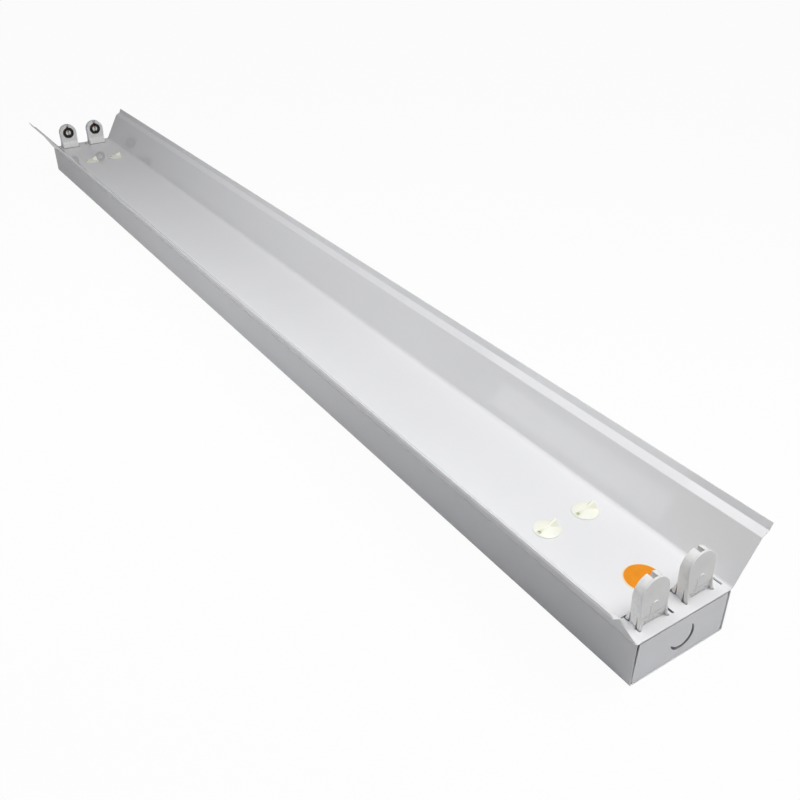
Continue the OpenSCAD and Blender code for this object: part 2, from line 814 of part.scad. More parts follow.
// Three-pole terminal block under the plate, with two entries to a pole on each face
module terminal_block() {
    low = plate_under - block_h;
    color("white") difference() {
        block_between(
            [block_x - block_l / 2, -block_w / 2, low],
            [block_x + block_l / 2, block_w / 2, plate_under]);
        for (pole = [-1, 0, 1], face = [near, far]) {
            for (entry = [-1, 1]) translate(into_block(face, pole, entry, 0)) rotate([0, 90, 0])
                cylinder(d = wire_d + 2 * block_entry_fit, h = 2 * block_entry_depth, center = true);
            translate([screw_x(face), pole * pole_pitch, low - cut])
                cylinder(d = block_screw_d + block_screw_fit, h = block_screw_t + cut);
        }
    }
}
module terminal_screws() {
    color("gold") for (pole = [-1, 0, 1], face = [near, far])
        translate([screw_x(face), pole * pole_pitch, plate_under - block_h]) difference() {
            cylinder(d = block_screw_d, h = block_screw_t);
            translate([-block_screw_d, -screw_slot / 2, -cut])
                cube([2 * block_screw_d, screw_slot, cut + screw_slot]);
        }
}
function screw_x(face) = block_x + face * (block_l / 2 - block_screw_inset);

// A point on the centre line of a block entry, so far out of the block's face
function into_block(face, pole, entry, out) = [
    block_x + face * (block_l / 2 + out),
    pole * pole_pitch + entry * block_entry_pitch / 2,
    plate_under - block_h + block_entry_up];

// Stations along a wire, each a point and the direction there, with a smooth curve at every bend
function bend_at(a, b, c) =
    let (first = b + unit(a - b) * wire_bend, last = b + unit(c - b) * wire_bend)
    [for (i = [0 : bend_steps])
        let (t = i / bend_steps)
        [first * (1 - t) * (1 - t) + b * 2 * t * (1 - t) + last * t * t,
            unit((b - first) * (1 - t) + (last - b) * t)]];
function wire_stations(pts) =
    let (last = len(pts) - 1)
    concat(
        [[pts[0], unit(pts[1] - pts[0])]],
        [for (i = [1 : last - 1]) each bend_at(pts[i - 1], pts[i], pts[i + 1])],
        [[pts[last], unit(pts[last] - pts[last - 1])]]
    );

// A wire swept along a list of points
module wire(pts) {
    s = wire_stations(pts);
    rings = len(s);
    points = [for (q = s)
        let (across = unit(cross([0, 0, 1], q[1])), up = cross(q[1], across))
        for (k = [0 : wire_sides - 1])
            let (a = 360 * k / wire_sides)
            q[0] + (across * cos(a) + up * sin(a)) * wire_d / 2];
    sides = [for (i = [0 : rings - 2], k = [0 : wire_sides - 1])
        let (m = (k + 1) % wire_sides, low = i * wire_sides, high = low + wire_sides)
        each [[low + k, high + k, high + m], [low + k, high + m, low + m]]];
    start = [for (k = [0 : wire_sides - 1]) k];
    end = [for (k = [wire_sides - 1 : -1 : 0]) (rings - 1) * wire_sides + k];
    polyhedron(points = points, faces = concat(sides, [start, end]));
}

// Route of a lamp wire: out of the block, along the plate between the brackets' towers, into a foot
function out_of_block(face, pole, entry) = [
    into_block(face, pole, entry, wire_tip_gap - block_entry_depth),
    into_block(face, pole, entry, turn_out)];
function into_holder(end, side) = [
    [end * (lamp_gap / 2 - holder_lead - holder_spread), side * wire_pitch / 2, wire_z],
    from_holder(end, side, [-holder_lead, tail_y, -wire_up]),
    from_holder(end, side, [pocket_front - wire_tip_gap, tail_y, -wire_up])];
function lamp_route(end, side, pole) = concat(
    out_of_block(end, pole, side),
    [[block_x + end * (block_l / 2 + turn_out + turn_slope), side * wire_pitch / 2, wire_z]],
    into_holder(end, side));

module live_wires() {
    color("sienna") for (side = [left, right]) wire(lamp_route(near, side, -1));
}
module neutral_wires() {
    color("steelblue") for (side = [left, right]) wire(lamp_route(far, side, 0));
}

// Earth wire from the block to a crimped lug on the tray's stud
module earth_wire() {
    barrel_z = plate_under - lug_barrel_d / 2;
    barrel_end = tray_stud_x + lug_barrel_start + lug_barrel_l;
    color("yellowgreen") wire(concat(
        out_of_block(far, 1, 1),
        [[barrel_end + 2 * turn_out, tray_stud_y, barrel_z],
        [barrel_end - lug_grip, tray_stud_y, barrel_z]]));
    color("silver") translate([tray_stud_x, tray_stud_y, plate_under]) {
        translate([0, 0, -lug_t]) difference() {
            union() {
                cylinder(d = lug_d, h = lug_t);
                translate([0, -lug_tongue_w / 2, 0])
                    cube([lug_barrel_start + lug_grip / 2, lug_tongue_w, lug_t]);
            }
            translate([0, 0, -cut]) cylinder(d = stud_d + stud_fit, h = lug_t + 2 * cut);
        }
        translate([lug_barrel_start, 0, -lug_barrel_d / 2]) rotate([0, 90, 0]) difference() {
            cylinder(d = lug_barrel_d, h = lug_barrel_l);
            translate([0, 0, lug_grip / 2]) cylinder(d = wire_d + 2 * lug_fit, h = lug_barrel_l);
        }
    }
}

// Saddles under the plate that the wires run through
module wire_clips() {
    span = wire_pitch + wire_d + 2 * clip_side;
    low = wire_z - wire_d / 2 - clip_floor;
    color("white") for (end = [near, far], i = [0 : clip_count - 1])
        translate([end * (clip_start + i * clip_step), 0, 0]) difference() {
            block_between([-clip_l / 2, -span / 2, low], [clip_l / 2, span / 2, plate_under]);
            for (side = [left, right]) translate([0, side * wire_pitch / 2, wire_z]) rotate([0, 90, 0])
                cylinder(d = wire_d + 2 * wire_fit, h = 2 * clip_l, center = true);
        }
}

housing_channel();
end_plate(near);  // end_plate_near
end_plate(far);  // end_plate_far
bracket(near);  // bracket_near
bracket(far);  // bracket_far
cable_bush();
housing_earth_stud();
reflector();
holder_body(near, left);  // holder_body_near_left
holder_body(near, right);  // holder_body_near_right
holder_body(far, left);  // holder_body_far_left
holder_body(far, right);  // holder_body_far_right
holder_cover(near, left);  // holder_cover_near_left
holder_cover(near, right);  // holder_cover_near_right
holder_cover(far, left);  // holder_cover_far_left
holder_cover(far, right);  // holder_cover_far_right
rotor(near, left);  // rotor_near_left
rotor(near, right);  // rotor_near_right
rotor(far, left);  // rotor_far_left
rotor(far, right);  // rotor_far_right
contacts(near, left);  // contacts_near_left
contacts(near, right);  // contacts_near_right
contacts(far, left);  // contacts_far_left
contacts(far, right);  // contacts_far_right
knob(near, left);  // knob_near_left
knob(near, right);  // knob_near_right
knob(far, left);  // knob_far_left
knob(far, right);  // knob_far_right
knob_retainers();
round_label();
terminal_block();
terminal_screws();
live_wires();
neutral_wires();
earth_wire();
wire_clips();
tray_earth_stud();
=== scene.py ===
"""A twin tube ceiling fixture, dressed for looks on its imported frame.

Sizes in the classes are in millimetres and follow the part's source; a Shell turns them into metres
when it becomes a mesh. +X runs along the tubes to the near end, +Y across, +Z out of the lamp side.
"""
import logging
import math
from dataclasses import dataclass, field
from enum import Enum

import bmesh
import bpy
import numpy as np
from mathutils import Matrix, Vector


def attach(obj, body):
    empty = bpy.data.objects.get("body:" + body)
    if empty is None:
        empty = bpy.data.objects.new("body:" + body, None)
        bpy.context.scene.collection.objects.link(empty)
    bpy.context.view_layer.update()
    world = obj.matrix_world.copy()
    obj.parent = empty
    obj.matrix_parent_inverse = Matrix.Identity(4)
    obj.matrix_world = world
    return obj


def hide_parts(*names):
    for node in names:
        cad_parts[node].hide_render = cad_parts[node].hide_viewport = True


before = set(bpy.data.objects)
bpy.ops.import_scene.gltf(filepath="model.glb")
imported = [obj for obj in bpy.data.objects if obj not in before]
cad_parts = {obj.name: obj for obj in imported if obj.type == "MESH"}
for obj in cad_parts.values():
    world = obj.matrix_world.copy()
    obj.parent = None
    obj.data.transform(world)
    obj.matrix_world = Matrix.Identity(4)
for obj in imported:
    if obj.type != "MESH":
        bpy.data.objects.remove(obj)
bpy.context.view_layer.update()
MM = 0.001
# How far a cutting shell reaches past what it cuts, and the gap between pieces that touch
OVERRUN = 1.0
PLAY = 0.01
# Distances in metres under which points are welded and edges taken out
WELD = 1e-7
SLIVER = 1e-8
# The least value that an inset divides by, so that a sharp corner doesn't shoot out
MITRE = 0.4
# The angles of a rounded edge
QUARTER = np.linspace(0, math.pi / 2, 5)
log = logging.getLogger("fixture")

Array = np.ndarray
Piece = bpy.types.Object
Pair = tuple[float, float]
Triple = tuple[float, float, float]
Colour = Triple
Socket = bpy.types.NodeSocket


class End(Enum):
    """The two ends of the fixture, by the sign of X."""

    NEAR = 1
    FAR = -1


class Side(Enum):
    """The two sides of the fixture, by the sign of Y."""

    LEFT = -1
    RIGHT = 1


class Axis(Enum):
    """The axis that a profile is carried along, as the order of (first, second, along) columns."""

    X = (2, 0, 1)
    Y = (0, 2, 1)
    Z = (0, 1, 2)


class Cap(Enum):
    """How the two open ends of a skin are closed."""

    FACE = "one flat face"
    LADDER = "faces between the mirrored halves of the loop"
    POLE = "a fan to the middle of the loop"
    RING = "faces from the last loop back to the first"


class Cut(Enum):
    """What one mesh does to another."""

    REMOVE = "DIFFERENCE"
    FUSE = "UNION"


@dataclass(frozen=True)
class Place:
    """One of the four corners where a lampholder and a turn knob sit."""

    end: End
    side: Side

    @property
    def name(self) -> str:
        """The corner's name, as the record's nodes end in it."""
        return f"{self.end.name}_{self.side.name}".lower()


PLACES = [Place(end, side) for end in End for side in Side]


# Shells: closed surfaces worked out as whole arrays


@dataclass
class Shell:
    """A closed surface in millimetres: points (n, 3), and faces as arrays of equal-sided index rows."""

    points: Array
    faces: list[Array]

    def moved(self, x: float, y: float, z: float) -> "Shell":
        """The same shell shifted by (x, y, z)."""
        return Shell(self.points + np.array([x, y, z]), self.faces)

    def turned(self, axis: str, degrees: float) -> "Shell":
        """The same shell turned about one of the axes through the origin."""
        spin = np.array(Matrix.Rotation(math.radians(degrees), 3, axis))
        return Shell(self.points @ spin.T, self.faces)

    def piece(self, name: str, crease: float = 32.0) -> Piece:
        """A shaded object of this shell, in metres.

        Args:
            name: the object's name.
            crease: the angle in degrees over which an edge stays sharp.

        Returns:
            The object, linked to the scene.
        """
        mesh = bpy.data.meshes.new(name)
        rows = [tuple(row) for block in self.faces for row in block.tolist()]
        mesh.from_pydata(self.points * MM, [], rows)
        tidy = bmesh.new()
        tidy.from_mesh(mesh)
        bmesh.ops.remove_doubles(tidy, verts=tidy.verts, dist=WELD)
        bmesh.ops.dissolve_degenerate(tidy, edges=tidy.edges, dist=SLIVER)
        bmesh.ops.recalc_face_normals(tidy, faces=tidy.faces)
        tidy.to_mesh(mesh)
        tidy.free()
        piece = bpy.data.objects.new(name, mesh)
        bpy.context.scene.collection.objects.link(piece)
        shade(piece, crease)
        return piece


def shade(piece: Piece, crease: float) -> None:
    """Smooth shading, but sharp over edges that turn by more than crease degrees."""
    piece.data.polygons.foreach_set("use_smooth", np.ones(len(piece.data.polygons), dtype=bool))
    piece.data.set_sharp_from_angle(angle=math.radians(crease))


def joined(*shells: Shell) -> Shell:
    """Several shells as one, with the index rows of each shifted past the points before it.

    Args:
        *shells: the shells.

    Returns:
        One shell.
    """
    starts = np.cumsum([0] + [len(shell.points) for shell in shells[:-1]])
    points = np.concatenate([shell.points for shell in shells])
    faces = [block + start for shell, start in zip(shells, starts) for block in shell.faces]
    return Shell(points, faces)


def skin(rows: Array, cap: Cap = Cap.FACE) -> Shell:
    """A skin over closed loops: face (i, k) joins points k and k + 1 of the loops i and i + 1.

    Args:
        rows: the loops, as an array (loops, points in a loop, 3).
        cap: how the first and the last loop are closed.

    Returns:
        The closed shell.
    """
    count, around = rows.shape[:2]
    index = np.arange(count * around).reshape(count, around)
    ahead = np.roll(index, -1, axis=1)
    points = rows.reshape(-1, 3)
    faces = [np.stack([index[:-1], ahead[:-1], ahead[1:], index[1:]], axis=-1).reshape(-1, 4)]
    if cap is Cap.RING:
        faces.append(np.stack([index[-1], ahead[-1], ahead[0], index[0]], axis=-1))
    if cap is Cap.POLE:
        points = np.concatenate([points, rows[[0, -1]].mean(axis=1)])
    for end, pole in ((0, count * around), (-1, count * around + 1)):
        loop = index[end]
        if cap is Cap.FACE:
            faces.append(loop[None, :])
        if cap is Cap.LADDER:
            up, down = loop[: around // 2], loop[::-1][: around // 2]
            faces.append(np.stack([up[:-1], up[1:], down[1:], down[:-1]], axis=-1))
        if cap is Cap.POLE:
            faces.append(np.stack([loop, ahead[end], np.full(around, pole)], axis=-1))
    return Shell(points, faces)


def along(profiles: Array, places: Array, axis: Axis) -> Array:
    """Loops of a profile carried along an axis.

    Args:
        profiles: the profile at each place, as an array (places, points, 2), or (points, 2) for one.
        places: where each profile stands on the axis, as an array (places,) or (places, points).
        axis: the axis.

    Returns:
        The loops, as an array (places, points, 3).
    """
    if places.ndim == 1:
        places = places[:, None]
    count = places.shape[0]
    flat = np.broadcast_to(profiles, (count, profiles.shape[-2], 2))
    level = np.broadcast_to(places, flat.shape[:2])
    return np.concatenate([flat, level[..., None]], axis=-1)[..., list(axis.value)]


def unit(v: Array) -> Array:
    """Vectors scaled to length one along the last axis: v / |v|."""
    return v / np.linalg.norm(v, axis=-1, keepdims=True)


def left_of(v: Array) -> Array:
    """Plane vectors turned a quarter turn to the left: (x, y) to (-y, x)."""
    return np.stack([-v[..., 1], v[..., 0]], axis=-1)


def inset(loop: Array, depth: float) -> Array:
    """A closed outline moved inwards, each corner by depth / cos(half its turn) along its bisector.

    Args:
        loop: the loop.
        depth: how far the loop moves inwards.

    Returns:
        The loop.
    """
    edge = unit(np.roll(loop, -1, axis=0) - loop)
    into = left_of(edge)
    turn = np.sign(np.sum(loop[:, 0] * np.roll(loop[:, 1], -1) - loop[:, 1] * np.roll(loop[:, 0], -1)))
    both = into + np.roll(into, 1, axis=0)
    share = np.maximum(np.sum(both * both, axis=1, keepdims=True), MITRE)
    return loop + turn * depth * 2 * both / share


def rounded(low: float, high: float, radius: float, steps: int = 4) -> tuple[Array, Array]:
    """Levels and insets of a rim that is rounded at both ends.

    Level = low + r (1 - cos t) and inset = r (1 - sin t) for t from 0 to 90 degrees, and the same from
    the top downwards.

    Args:
        low: the lowest level.
        high: the highest level.
        radius: the rounding radius r.
        steps: the pieces in each quarter circle.

    Returns:
        The levels and the insets.
    """
    t = np.linspace(0, math.pi / 2, steps + 1)
    rise, depth = radius * (1 - np.cos(t)), radius * (1 - np.sin(t))
    return np.concatenate([low + rise, (high - rise)[::-1]]), np.concatenate([depth, depth[::-1]])


def prism(loop: Array, low: float, high: float, radius: float, axis: Axis, cap: Cap = Cap.FACE) -> Shell:
    """A solid with the outline loop from low to high along the axis, its two rims rounded by radius."""
    levels, depths = rounded(low, high, radius)
    return skin(along(np.stack([inset(loop, d) for d in depths]), levels, axis), cap)


def oblong(width: float, height: float, radius: float, steps: int = 5) -> Array:
    """A rounded rectangle about the origin: a quarter circle of the radius at each corner.

    Args:
        width: its width.
        height: its height.
        radius: the corners' radius.
        steps: the pieces in each quarter circle.

    Returns:
        The loop.
    """
    t = np.linspace(0, math.pi / 2, steps + 1)
    corner = np.stack([np.cos(t), np.sin(t)], axis=-1) * radius
    middle = np.array([width / 2 - radius, height / 2 - radius])
    turns = [np.array([[1, 0], [0, 1]]), np.array([[0, 1], [-1, 0]]),
             np.array([[-1, 0], [0, -1]]), np.array([[0, -1], [1, 0]])]
    signs = np.array([[1, 1], [-1, 1], [-1, -1], [1, -1]])
    return np.concatenate([corner @ turn + middle * sign for turn, sign in zip(turns, signs)])


def circle(radius: float, count: int = 48) -> Array:
    """Points (r cos t, r sin t) of a circle about the origin."""
    t = np.arange(count) * 2 * math.pi / count
    return radius * np.stack([np.cos(t), np.sin(t)], axis=-1)


def polar(radii: Array, levels: Array, axis: Axis) -> Array:
    """Loops of points (r cos t, r sin t, level) about an axis.

    Args:
        radii: the radius r at each level and angle t, as an array (levels, points).
        levels: the levels, as an array (levels,) or (levels, points).
        axis: the axis.

    Returns:
        The loops, as an array (levels, points, 3).
    """
    return along(circle(1.0, radii.shape[1])[None] * radii[..., None], levels, axis)


def lathe(profile: Array, axis: Axis, count: int = 64) -> Shell:
    """A profile of (radius, level) points turned about an axis: (r cos t, r sin t, level).

    Args:
        profile: the points, from one pole to the other, or round a ring if the ends meet.
        axis: the axis.
        count: the faces round the axis.

    Returns:
        The closed shell, with poles closed where the profile starts and ends on the axis.
    """
    loops = polar(np.broadcast_to(profile[:, :1], (len(profile), count)), profile[:, 1], axis)
    if np.allclose(profile[0], profile[-1]):
        return skin(loops[:-1], Cap.RING)
    return skin(loops, Cap.POLE)


def ring_profile(inner: float, outer: float, low: float, high: float, radius: float) -> Array:
    """The closed section of a ring, a rectangle from inner to outer and low to high, rounded by radius."""
    loop = oblong(outer - inner, high - low, radius, 3) + np.array([(inner + outer) / 2, (low + high) / 2])
    return np.concatenate([loop, loop[:1]])


def rod(radius: float, low: float, high: float, axis: Axis, count: int = 48) -> Shell:
    """A plain cylinder about an axis, from low to high, used to cut with."""
    return skin(along(circle(radius, count), np.array([low, high]), axis))


def block(low: Triple, high: Triple) -> Shell:
    """A plain box from its lowest to its highest corner, used to cut with."""
    (x0, y0, z0), (x1, y1, z1) = low, high
    return skin(along(np.array([[x0, y0], [x1, y0], [x1, y1], [x0, y1]]), np.array([z0, z1]), Axis.Z))


def bar(corners: list[tuple[Array | float, Array | float]], z: Array) -> Shell:
    """A bar whose corner lines are given as (x, y) at the heights z.

    Args:
        corners: the corners in their order round the bar, each coordinate one value or an array as z.
        z: the heights.

    Returns:
        The closed shell.
    """
    return skin(np.stack([np.stack(np.broadcast_arrays(x, y, z), axis=-1) for x, y in corners], axis=1))


def tube(path: Array, radius: Array | float, count: int = 16) -> Shell:
    """A tube along a path: path + r (across cos t + up sin t), across level and square to the path.

    Args:
        path: the points of the centre line, as an array (n, 3).
        radius: the radius, or one for each point.
        count: the faces round the tube.

    Returns:
        The closed shell.
    """
    heading = unit(np.gradient(path, axis=0))
    across = unit(np.cross(np.array([0.0, 0.0, 1.0]), heading))
    up = np.cross(heading, across)
    ring = circle(1.0, count)
    reach = np.broadcast_to(radius, (len(path),))[:, None, None]
    rows = path[:, None] + reach * (ring[None, :, :1] * across[:, None] + ring[None, :, 1:] * up[:, None])
    return skin(rows, Cap.POLE)


def smooth_path(corners: Array, bend: float, steps: int = 10) -> Array:
    """Straight runs with a smooth curve at each corner: a (1-t)^2 + 2 b t (1-t) + c t^2 around corner b.

    Args:
        corners: the corners, as an array (n, 3).
        bend: how far before and after a corner its curve starts and ends.
        steps: the pieces in each curve.

    Returns:
        The points of the path.
    """
    t = np.linspace(0, 1, steps + 1)[:, None]
    middle = corners[1:-1]
    first = middle + unit(corners[:-2] - middle) * bend
    last = middle + unit(corners[2:] - middle) * bend
    curves = [a * (1 - t) ** 2 + 2 * b * t * (1 - t) + c * t**2 for a, b, c in zip(first, middle, last)]
    return np.concatenate([corners[:1], *curves, corners[-1:]])


@dataclass(frozen=True)
class FoldedSheet:
    """Sheet metal folded along a line: its middle line, and half its thickness on either side.

    The rim is rounded: near a free edge the half thickness is r sqrt(1 - (1 - d / r)^2) at distance d.
    """

    corners: tuple[Pair, ...]
    radii: tuple[float, ...]
    thickness: float
    fold_steps: int = 8
    support: float = 0.5

    EDGE_SHARES = np.array([0.06, 0.25, 0.6, 1.0])
    SWELL = np.sqrt(1 - (1 - EDGE_SHARES) ** 2)

    def line(self) -> tuple[Array, Array, Array]:
        """Points of the middle line, its left-hand normals, and the share of the thickness there.

        Returns:
            The points, the normals and the shares, one row to each.
        """
        pts = np.array(self.corners, dtype=float)
        run = unit(np.diff(pts, axis=0))
        normal = left_of(run)
        near_edge = self.EDGE_SHARES[:, None] * self.thickness / 2
        swell = self.SWELL
        points, shares = [pts[0] + run[0] * near_edge], [swell]
        normals = [np.tile(normal[0], (len(swell), 1))]
        for i, radius in list(enumerate(self.radii))[1:-1]:
            into, out = run[i - 1], run[i]
            turn = math.atan2(into[0] * out[1] - into[1] * out[0], into @ out)
            side = math.copysign(1.0, turn)
            centre = pts[i] - into * radius * math.tan(abs(turn) / 2) + normal[i - 1] * side * radius
            angle = turn * np.linspace(0, 1, self.fold_steps + 1)[:, None]
            arc_normal = np.cos(angle) * normal[i - 1] + np.sin(angle) * left_of(normal[i - 1])
            arc = centre - arc_normal * side * radius
            points += [arc[:1] - into * self.support, arc, arc[-1:] + out * self.support]
            normals += [normal[i - 1][None], arc_normal, normal[i][None]]
            shares.append(np.ones(len(arc) + 2))
        points.append(pts[-1] - run[-1] * near_edge[::-1])
        normals.append(np.tile(normal[-1], (len(swell), 1)))
        shares.append(swell[::-1])
        return np.concatenate(points), np.concatenate(normals), np.concatenate(shares)

    def shell(self, low: float, high: float, axis: Axis, stations: int = 12) -> Shell:
        """The sheet carried from low to high along an axis, with its cut ends rounded like its edges.

        Args:
            low: the first end.
            high: the last end.
            axis: the axis that the sheet runs along.
            stations: how many places stand between the ends.

        Returns:
            The closed shell.
        """
        points, normals, shares = self.line()
        rim = self.EDGE_SHARES * self.thickness / 2
        places = np.concatenate([low + rim, np.linspace(low, high, stations + 2)[1:-1], (high - rim)[::-1]])
        swell = self.SWELL
        end_share = np.concatenate([swell, np.ones(stations), swell[::-1]])
        half = normals[None] * (shares[None, :, None] * end_share[:, None, None]) * self.thickness / 2
        loops = np.concatenate([points[None] + half, (points[None] - half)[:, ::-1]], axis=1)
        return skin(along(loops, places, axis), Cap.LADDER)


def both_sides(line: list[Pair]) -> tuple[Pair, ...]:
    """A line drawn for the right side only, continued to the left as its mirror image."""
    return tuple([(-y, z) for y, z in reversed(line)] + line)


# Meshes cut by and fused with other meshes


def discard(piece: Piece) -> None:
    """Removes a piece that only served to make others: the object goes with its mesh."""
    bpy.data.meshes.remove(piece.data)


def combine(piece: Piece, shells: list[Shell], cut: Cut, crease: float = 32.0) -> Piece:
    """Cuts shells out of a piece or fuses them with it, and keeps the result as its mesh.

    Args:
        piece: the piece that changes.
        shells: the shells, none of which touches another if they are cut out.
        cut: what the shells do.
        crease: the angle in degrees over which an edge stays sharp.

    Returns:
        The same piece.
    """
    groups = [joined(*shells)] if cut is Cut.REMOVE else shells
    for shell in groups:
        tool = shell.piece("tool")
        modifier = piece.modifiers.new("cut", "BOOLEAN")
        modifier.operation = cut.value
        modifier.solver = "EXACT"
        modifier.object = tool
        settle(piece)
        discard(tool)
    shade(piece, crease)
    return piece


def settle(piece: Piece) -> None:
    """Replaces a piece's mesh by what its modifiers make of it.

    Args:
        piece: the piece.
    """
    graph = bpy.context.evaluated_depsgraph_get()
    made = bpy.data.meshes.new_from_object(piece.evaluated_get(graph))
    old = piece.data
    piece.modifiers.clear()
    piece.data = made
    bpy.data.meshes.remove(old)


def even_shading(piece: Piece) -> None:
    """Lets the large flat faces lead the normals where they meet small curved ones."""
    modifier = piece.modifiers.new("even", "WEIGHTED_NORMAL")
    modifier.keep_sharp, modifier.weight = True, 80


def copy_at(pattern: Piece, name: str, matrix: Matrix) -> Piece:
    """A copy of a pattern piece whose mesh is placed by a matrix, while the object stays at the origin.

    Args:
        pattern: the pattern.
        name: the copy's name.
        matrix: the copy's place in the part's frame.

    Returns:
        The copy.
    """
    mesh = pattern.data.copy()
    mesh.name = name
    mesh.transform(matrix)
    piece = bpy.data.objects.new(name, mesh)
    bpy.context.scene.collection.objects.link(piece)
    return piece


def corners_of(mesh: bpy.types.Mesh) -> Array:
    """The points of a mesh, as an array (n, 3) in metres.

    Args:
        mesh: the mesh.

    Returns:
        The points.
    """
    flat = np.empty(len(mesh.vertices) * 3, dtype=np.float32)
    mesh.vertices.foreach_get("co", flat)
    return flat.reshape(-1, 3)


def note(piece: Piece, name: str, values: Array) -> None:
    """Keeps one value for each point of a piece as its mesh's own attribute, for a material to read."""
    attribute = piece.data.attributes.new(name, "FLOAT", "POINT")
    attribute.data.foreach_set("value", values.astype(np.float32))


def fit(piece: Piece, body: str, slot: str, look: bpy.types.Material, *nodes: str) -> None:
    """Gives a piece its material and its body, and lets it stand for CAD nodes.

    Args:
        piece: the piece.
        body: the body that it rides on.
        slot: the record's material slot that its finish comes from; not used.
        look: its material.
        nodes: the CAD nodes that it stands for.
    """
    piece.data.materials.clear()
    piece.data.materials.append(look)
    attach(piece, body)
    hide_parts(*nodes)
    faces = len(piece.data.polygons)
    log.info("%s rides on %s and stands for %s, %d faces", piece.name, body, ", ".join(nodes), faces)


# Finishes


@dataclass(frozen=True)
class Drift:
    """A slow change over a surface: noise with about scale cells to the metre, from least to most."""

    scale: float
    detail: float
    least: float
    most: float


@dataclass(frozen=True)
class Relief:
    """One bump layer: noise with about scale cells to the metre, and its depth in metres."""

    scale: float
    detail: float
    depth: float
    stretch: Colour = (1.0, 1.0, 1.0)


def toned(colour: Colour, share: float) -> Colour:
    """The same colour, lighter or darker by a share."""
    return tuple(min(1.0, c * share) for c in colour)


class Graph:
    """A material's node tree, built one node at a time around its main shader."""

    def __init__(self, name: str) -> None:
        """Starts a material of that name, with Object coordinates at hand.

        Args:
            name: the material's name.
        """
        self.material = bpy.data.materials.new(name)
        self.material.use_nodes = True
        self.nodes = self.material.node_tree.nodes
        self.links = self.material.node_tree.links
        self.shader = self.nodes["Principled BSDF"]
        self.place = self.nodes.new("ShaderNodeTexCoord").outputs["Object"]

    def add(self, kind: str, inputs: dict, **settings) -> bpy.types.Node:
        """Adds a node; a socket among its inputs is linked, and any other value is set.

        Args:
            kind: the node's type without its usual prefix.
            inputs: the values by the sockets' names or numbers.
            settings: the node's own properties.

        Returns:
            The node.
        """
        node = self.nodes.new("ShaderNode" + kind)
        for key, value in settings.items():
            setattr(node, key, value)
        self.feed(node, inputs)
        return node

    def feed(self, node: bpy.types.Node, inputs: dict) -> None:
        """Links or sets a node's inputs, by their names or numbers.

        Args:
            node: the node.
            inputs: a value, a colour or a socket for each.
        """
        for key, value in inputs.items():
            if isinstance(value, Socket):
                self.links.new(value, node.inputs[key])
            else:
                node.inputs[key].default_value = value

    def noise(self, scale: float, detail: float, stretch: Colour = (1.0, 1.0, 1.0)) -> Socket:
        """The socket of a noise pattern with about scale cells to the metre, stretched along the axes."""
        where = self.add("Mapping", {"Vector": self.place, "Scale": stretch}).outputs[0]
        return self.add("TexNoise", {"Vector": where, "Scale": scale, "Detail": detail}).outputs[0]

    def spread(self, value: Socket, low: float, high: float, start: float = 0.3, stop: float = 0.7) -> Socket:
        """The socket of a pattern's values from start to stop, spread from low to high."""
        return self.add("MapRange", {0: value, 1: start, 2: stop, 3: low, 4: high}).outputs[0]

    def mixed(self, share: Socket, first: Colour | Socket, second: Colour) -> Socket:
        """The socket of a colour that goes from first, a colour or a socket, to second with the share."""
        start = first if isinstance(first, Socket) else (*first, 1.0)
        return self.add("Mix", {0: share, 6: start, 7: (*second, 1.0)}, data_type="RGBA").outputs[2]

    def clouded(self, colour: Colour, cloud: Drift) -> Socket:
        """The socket of a colour that drifts from the least to the most share of itself."""
        share = self.spread(self.noise(cloud.scale, cloud.detail), 0.0, 1.0)
        return self.mixed(share, toned(colour, cloud.least), toned(colour, cloud.most))

    def marked(self, name: str) -> Socket:
        """The socket of a value kept with the mesh's points."""
        return self.add("Attribute", {}, attribute_name=name).outputs["Fac"]

    def bumps(self, layers: tuple[Relief, ...]) -> None:
        """Feeds the shader's normal with bump layers, each over the one before it.

        Args:
            layers: the layers.
        """
        normal = None
        for layer in layers:
            pattern = self.noise(layer.scale, layer.detail, layer.stretch)
            inputs = {"Strength": 1.0, "Distance": layer.depth, "Height": pattern}
            if normal is not None:
                inputs["Normal"] = normal
            normal = self.add("Bump", inputs).outputs[0]
        self.feed(self.shader, {"Normal": normal})


@dataclass(frozen=True)
class Finish:
    """A finish: a colour and a roughness that drift over the surface, with layers of fine relief.

    The roughness runs from the gloss drift's least to its most share of it, or is even without one.
    """

    name: str
    colour: Colour
    roughness: float = 1.0
    cloud: Drift | None = None
    gloss: Drift | None = None
    layers: tuple[Relief, ...] = ()
    refraction: float = 1.5
    metallic: float = 0.0

    def base(self, graph: Graph) -> Socket:
        """The socket of the colour."""
        return graph.clouded(self.colour, self.cloud)

    def settings(self) -> dict:
        """The shader's other values, by its sockets' names."""
        return {"IOR": self.refraction, "Metallic": self.metallic}

    def material(self) -> bpy.types.Material:
        """The material of the finish.

        Returns:
            The material.
        """
        graph = Graph(self.name)
        rough = self.roughness
        if self.gloss:
            rough = graph.spread(graph.noise(self.gloss.scale, self.gloss.detail),
                                 self.roughness * self.gloss.least, self.roughness * self.gloss.most)
        graph.feed(graph.shader, {"Base Color": self.base(graph), "Roughness": rough, **self.settings()})
        graph.bumps(self.layers)
        return graph.material


@dataclass(frozen=True)
class PowderCoat(Finish):
    """Gloss white powder coat: an even colour, a faint orange peel and sheet that isn't quite flat."""

    cloud: Drift = Drift(7.0, 3.0, 0.985, 1.01)
    gloss: Drift = Drift(38.0, 4.0, 0.8, 1.25)
    layers: tuple[Relief, ...] = (
        Relief(7.0, 1.0, 0.00006, (0.5, 1.6, 1.6)), Relief(620.0, 2.0, 0.0000008))


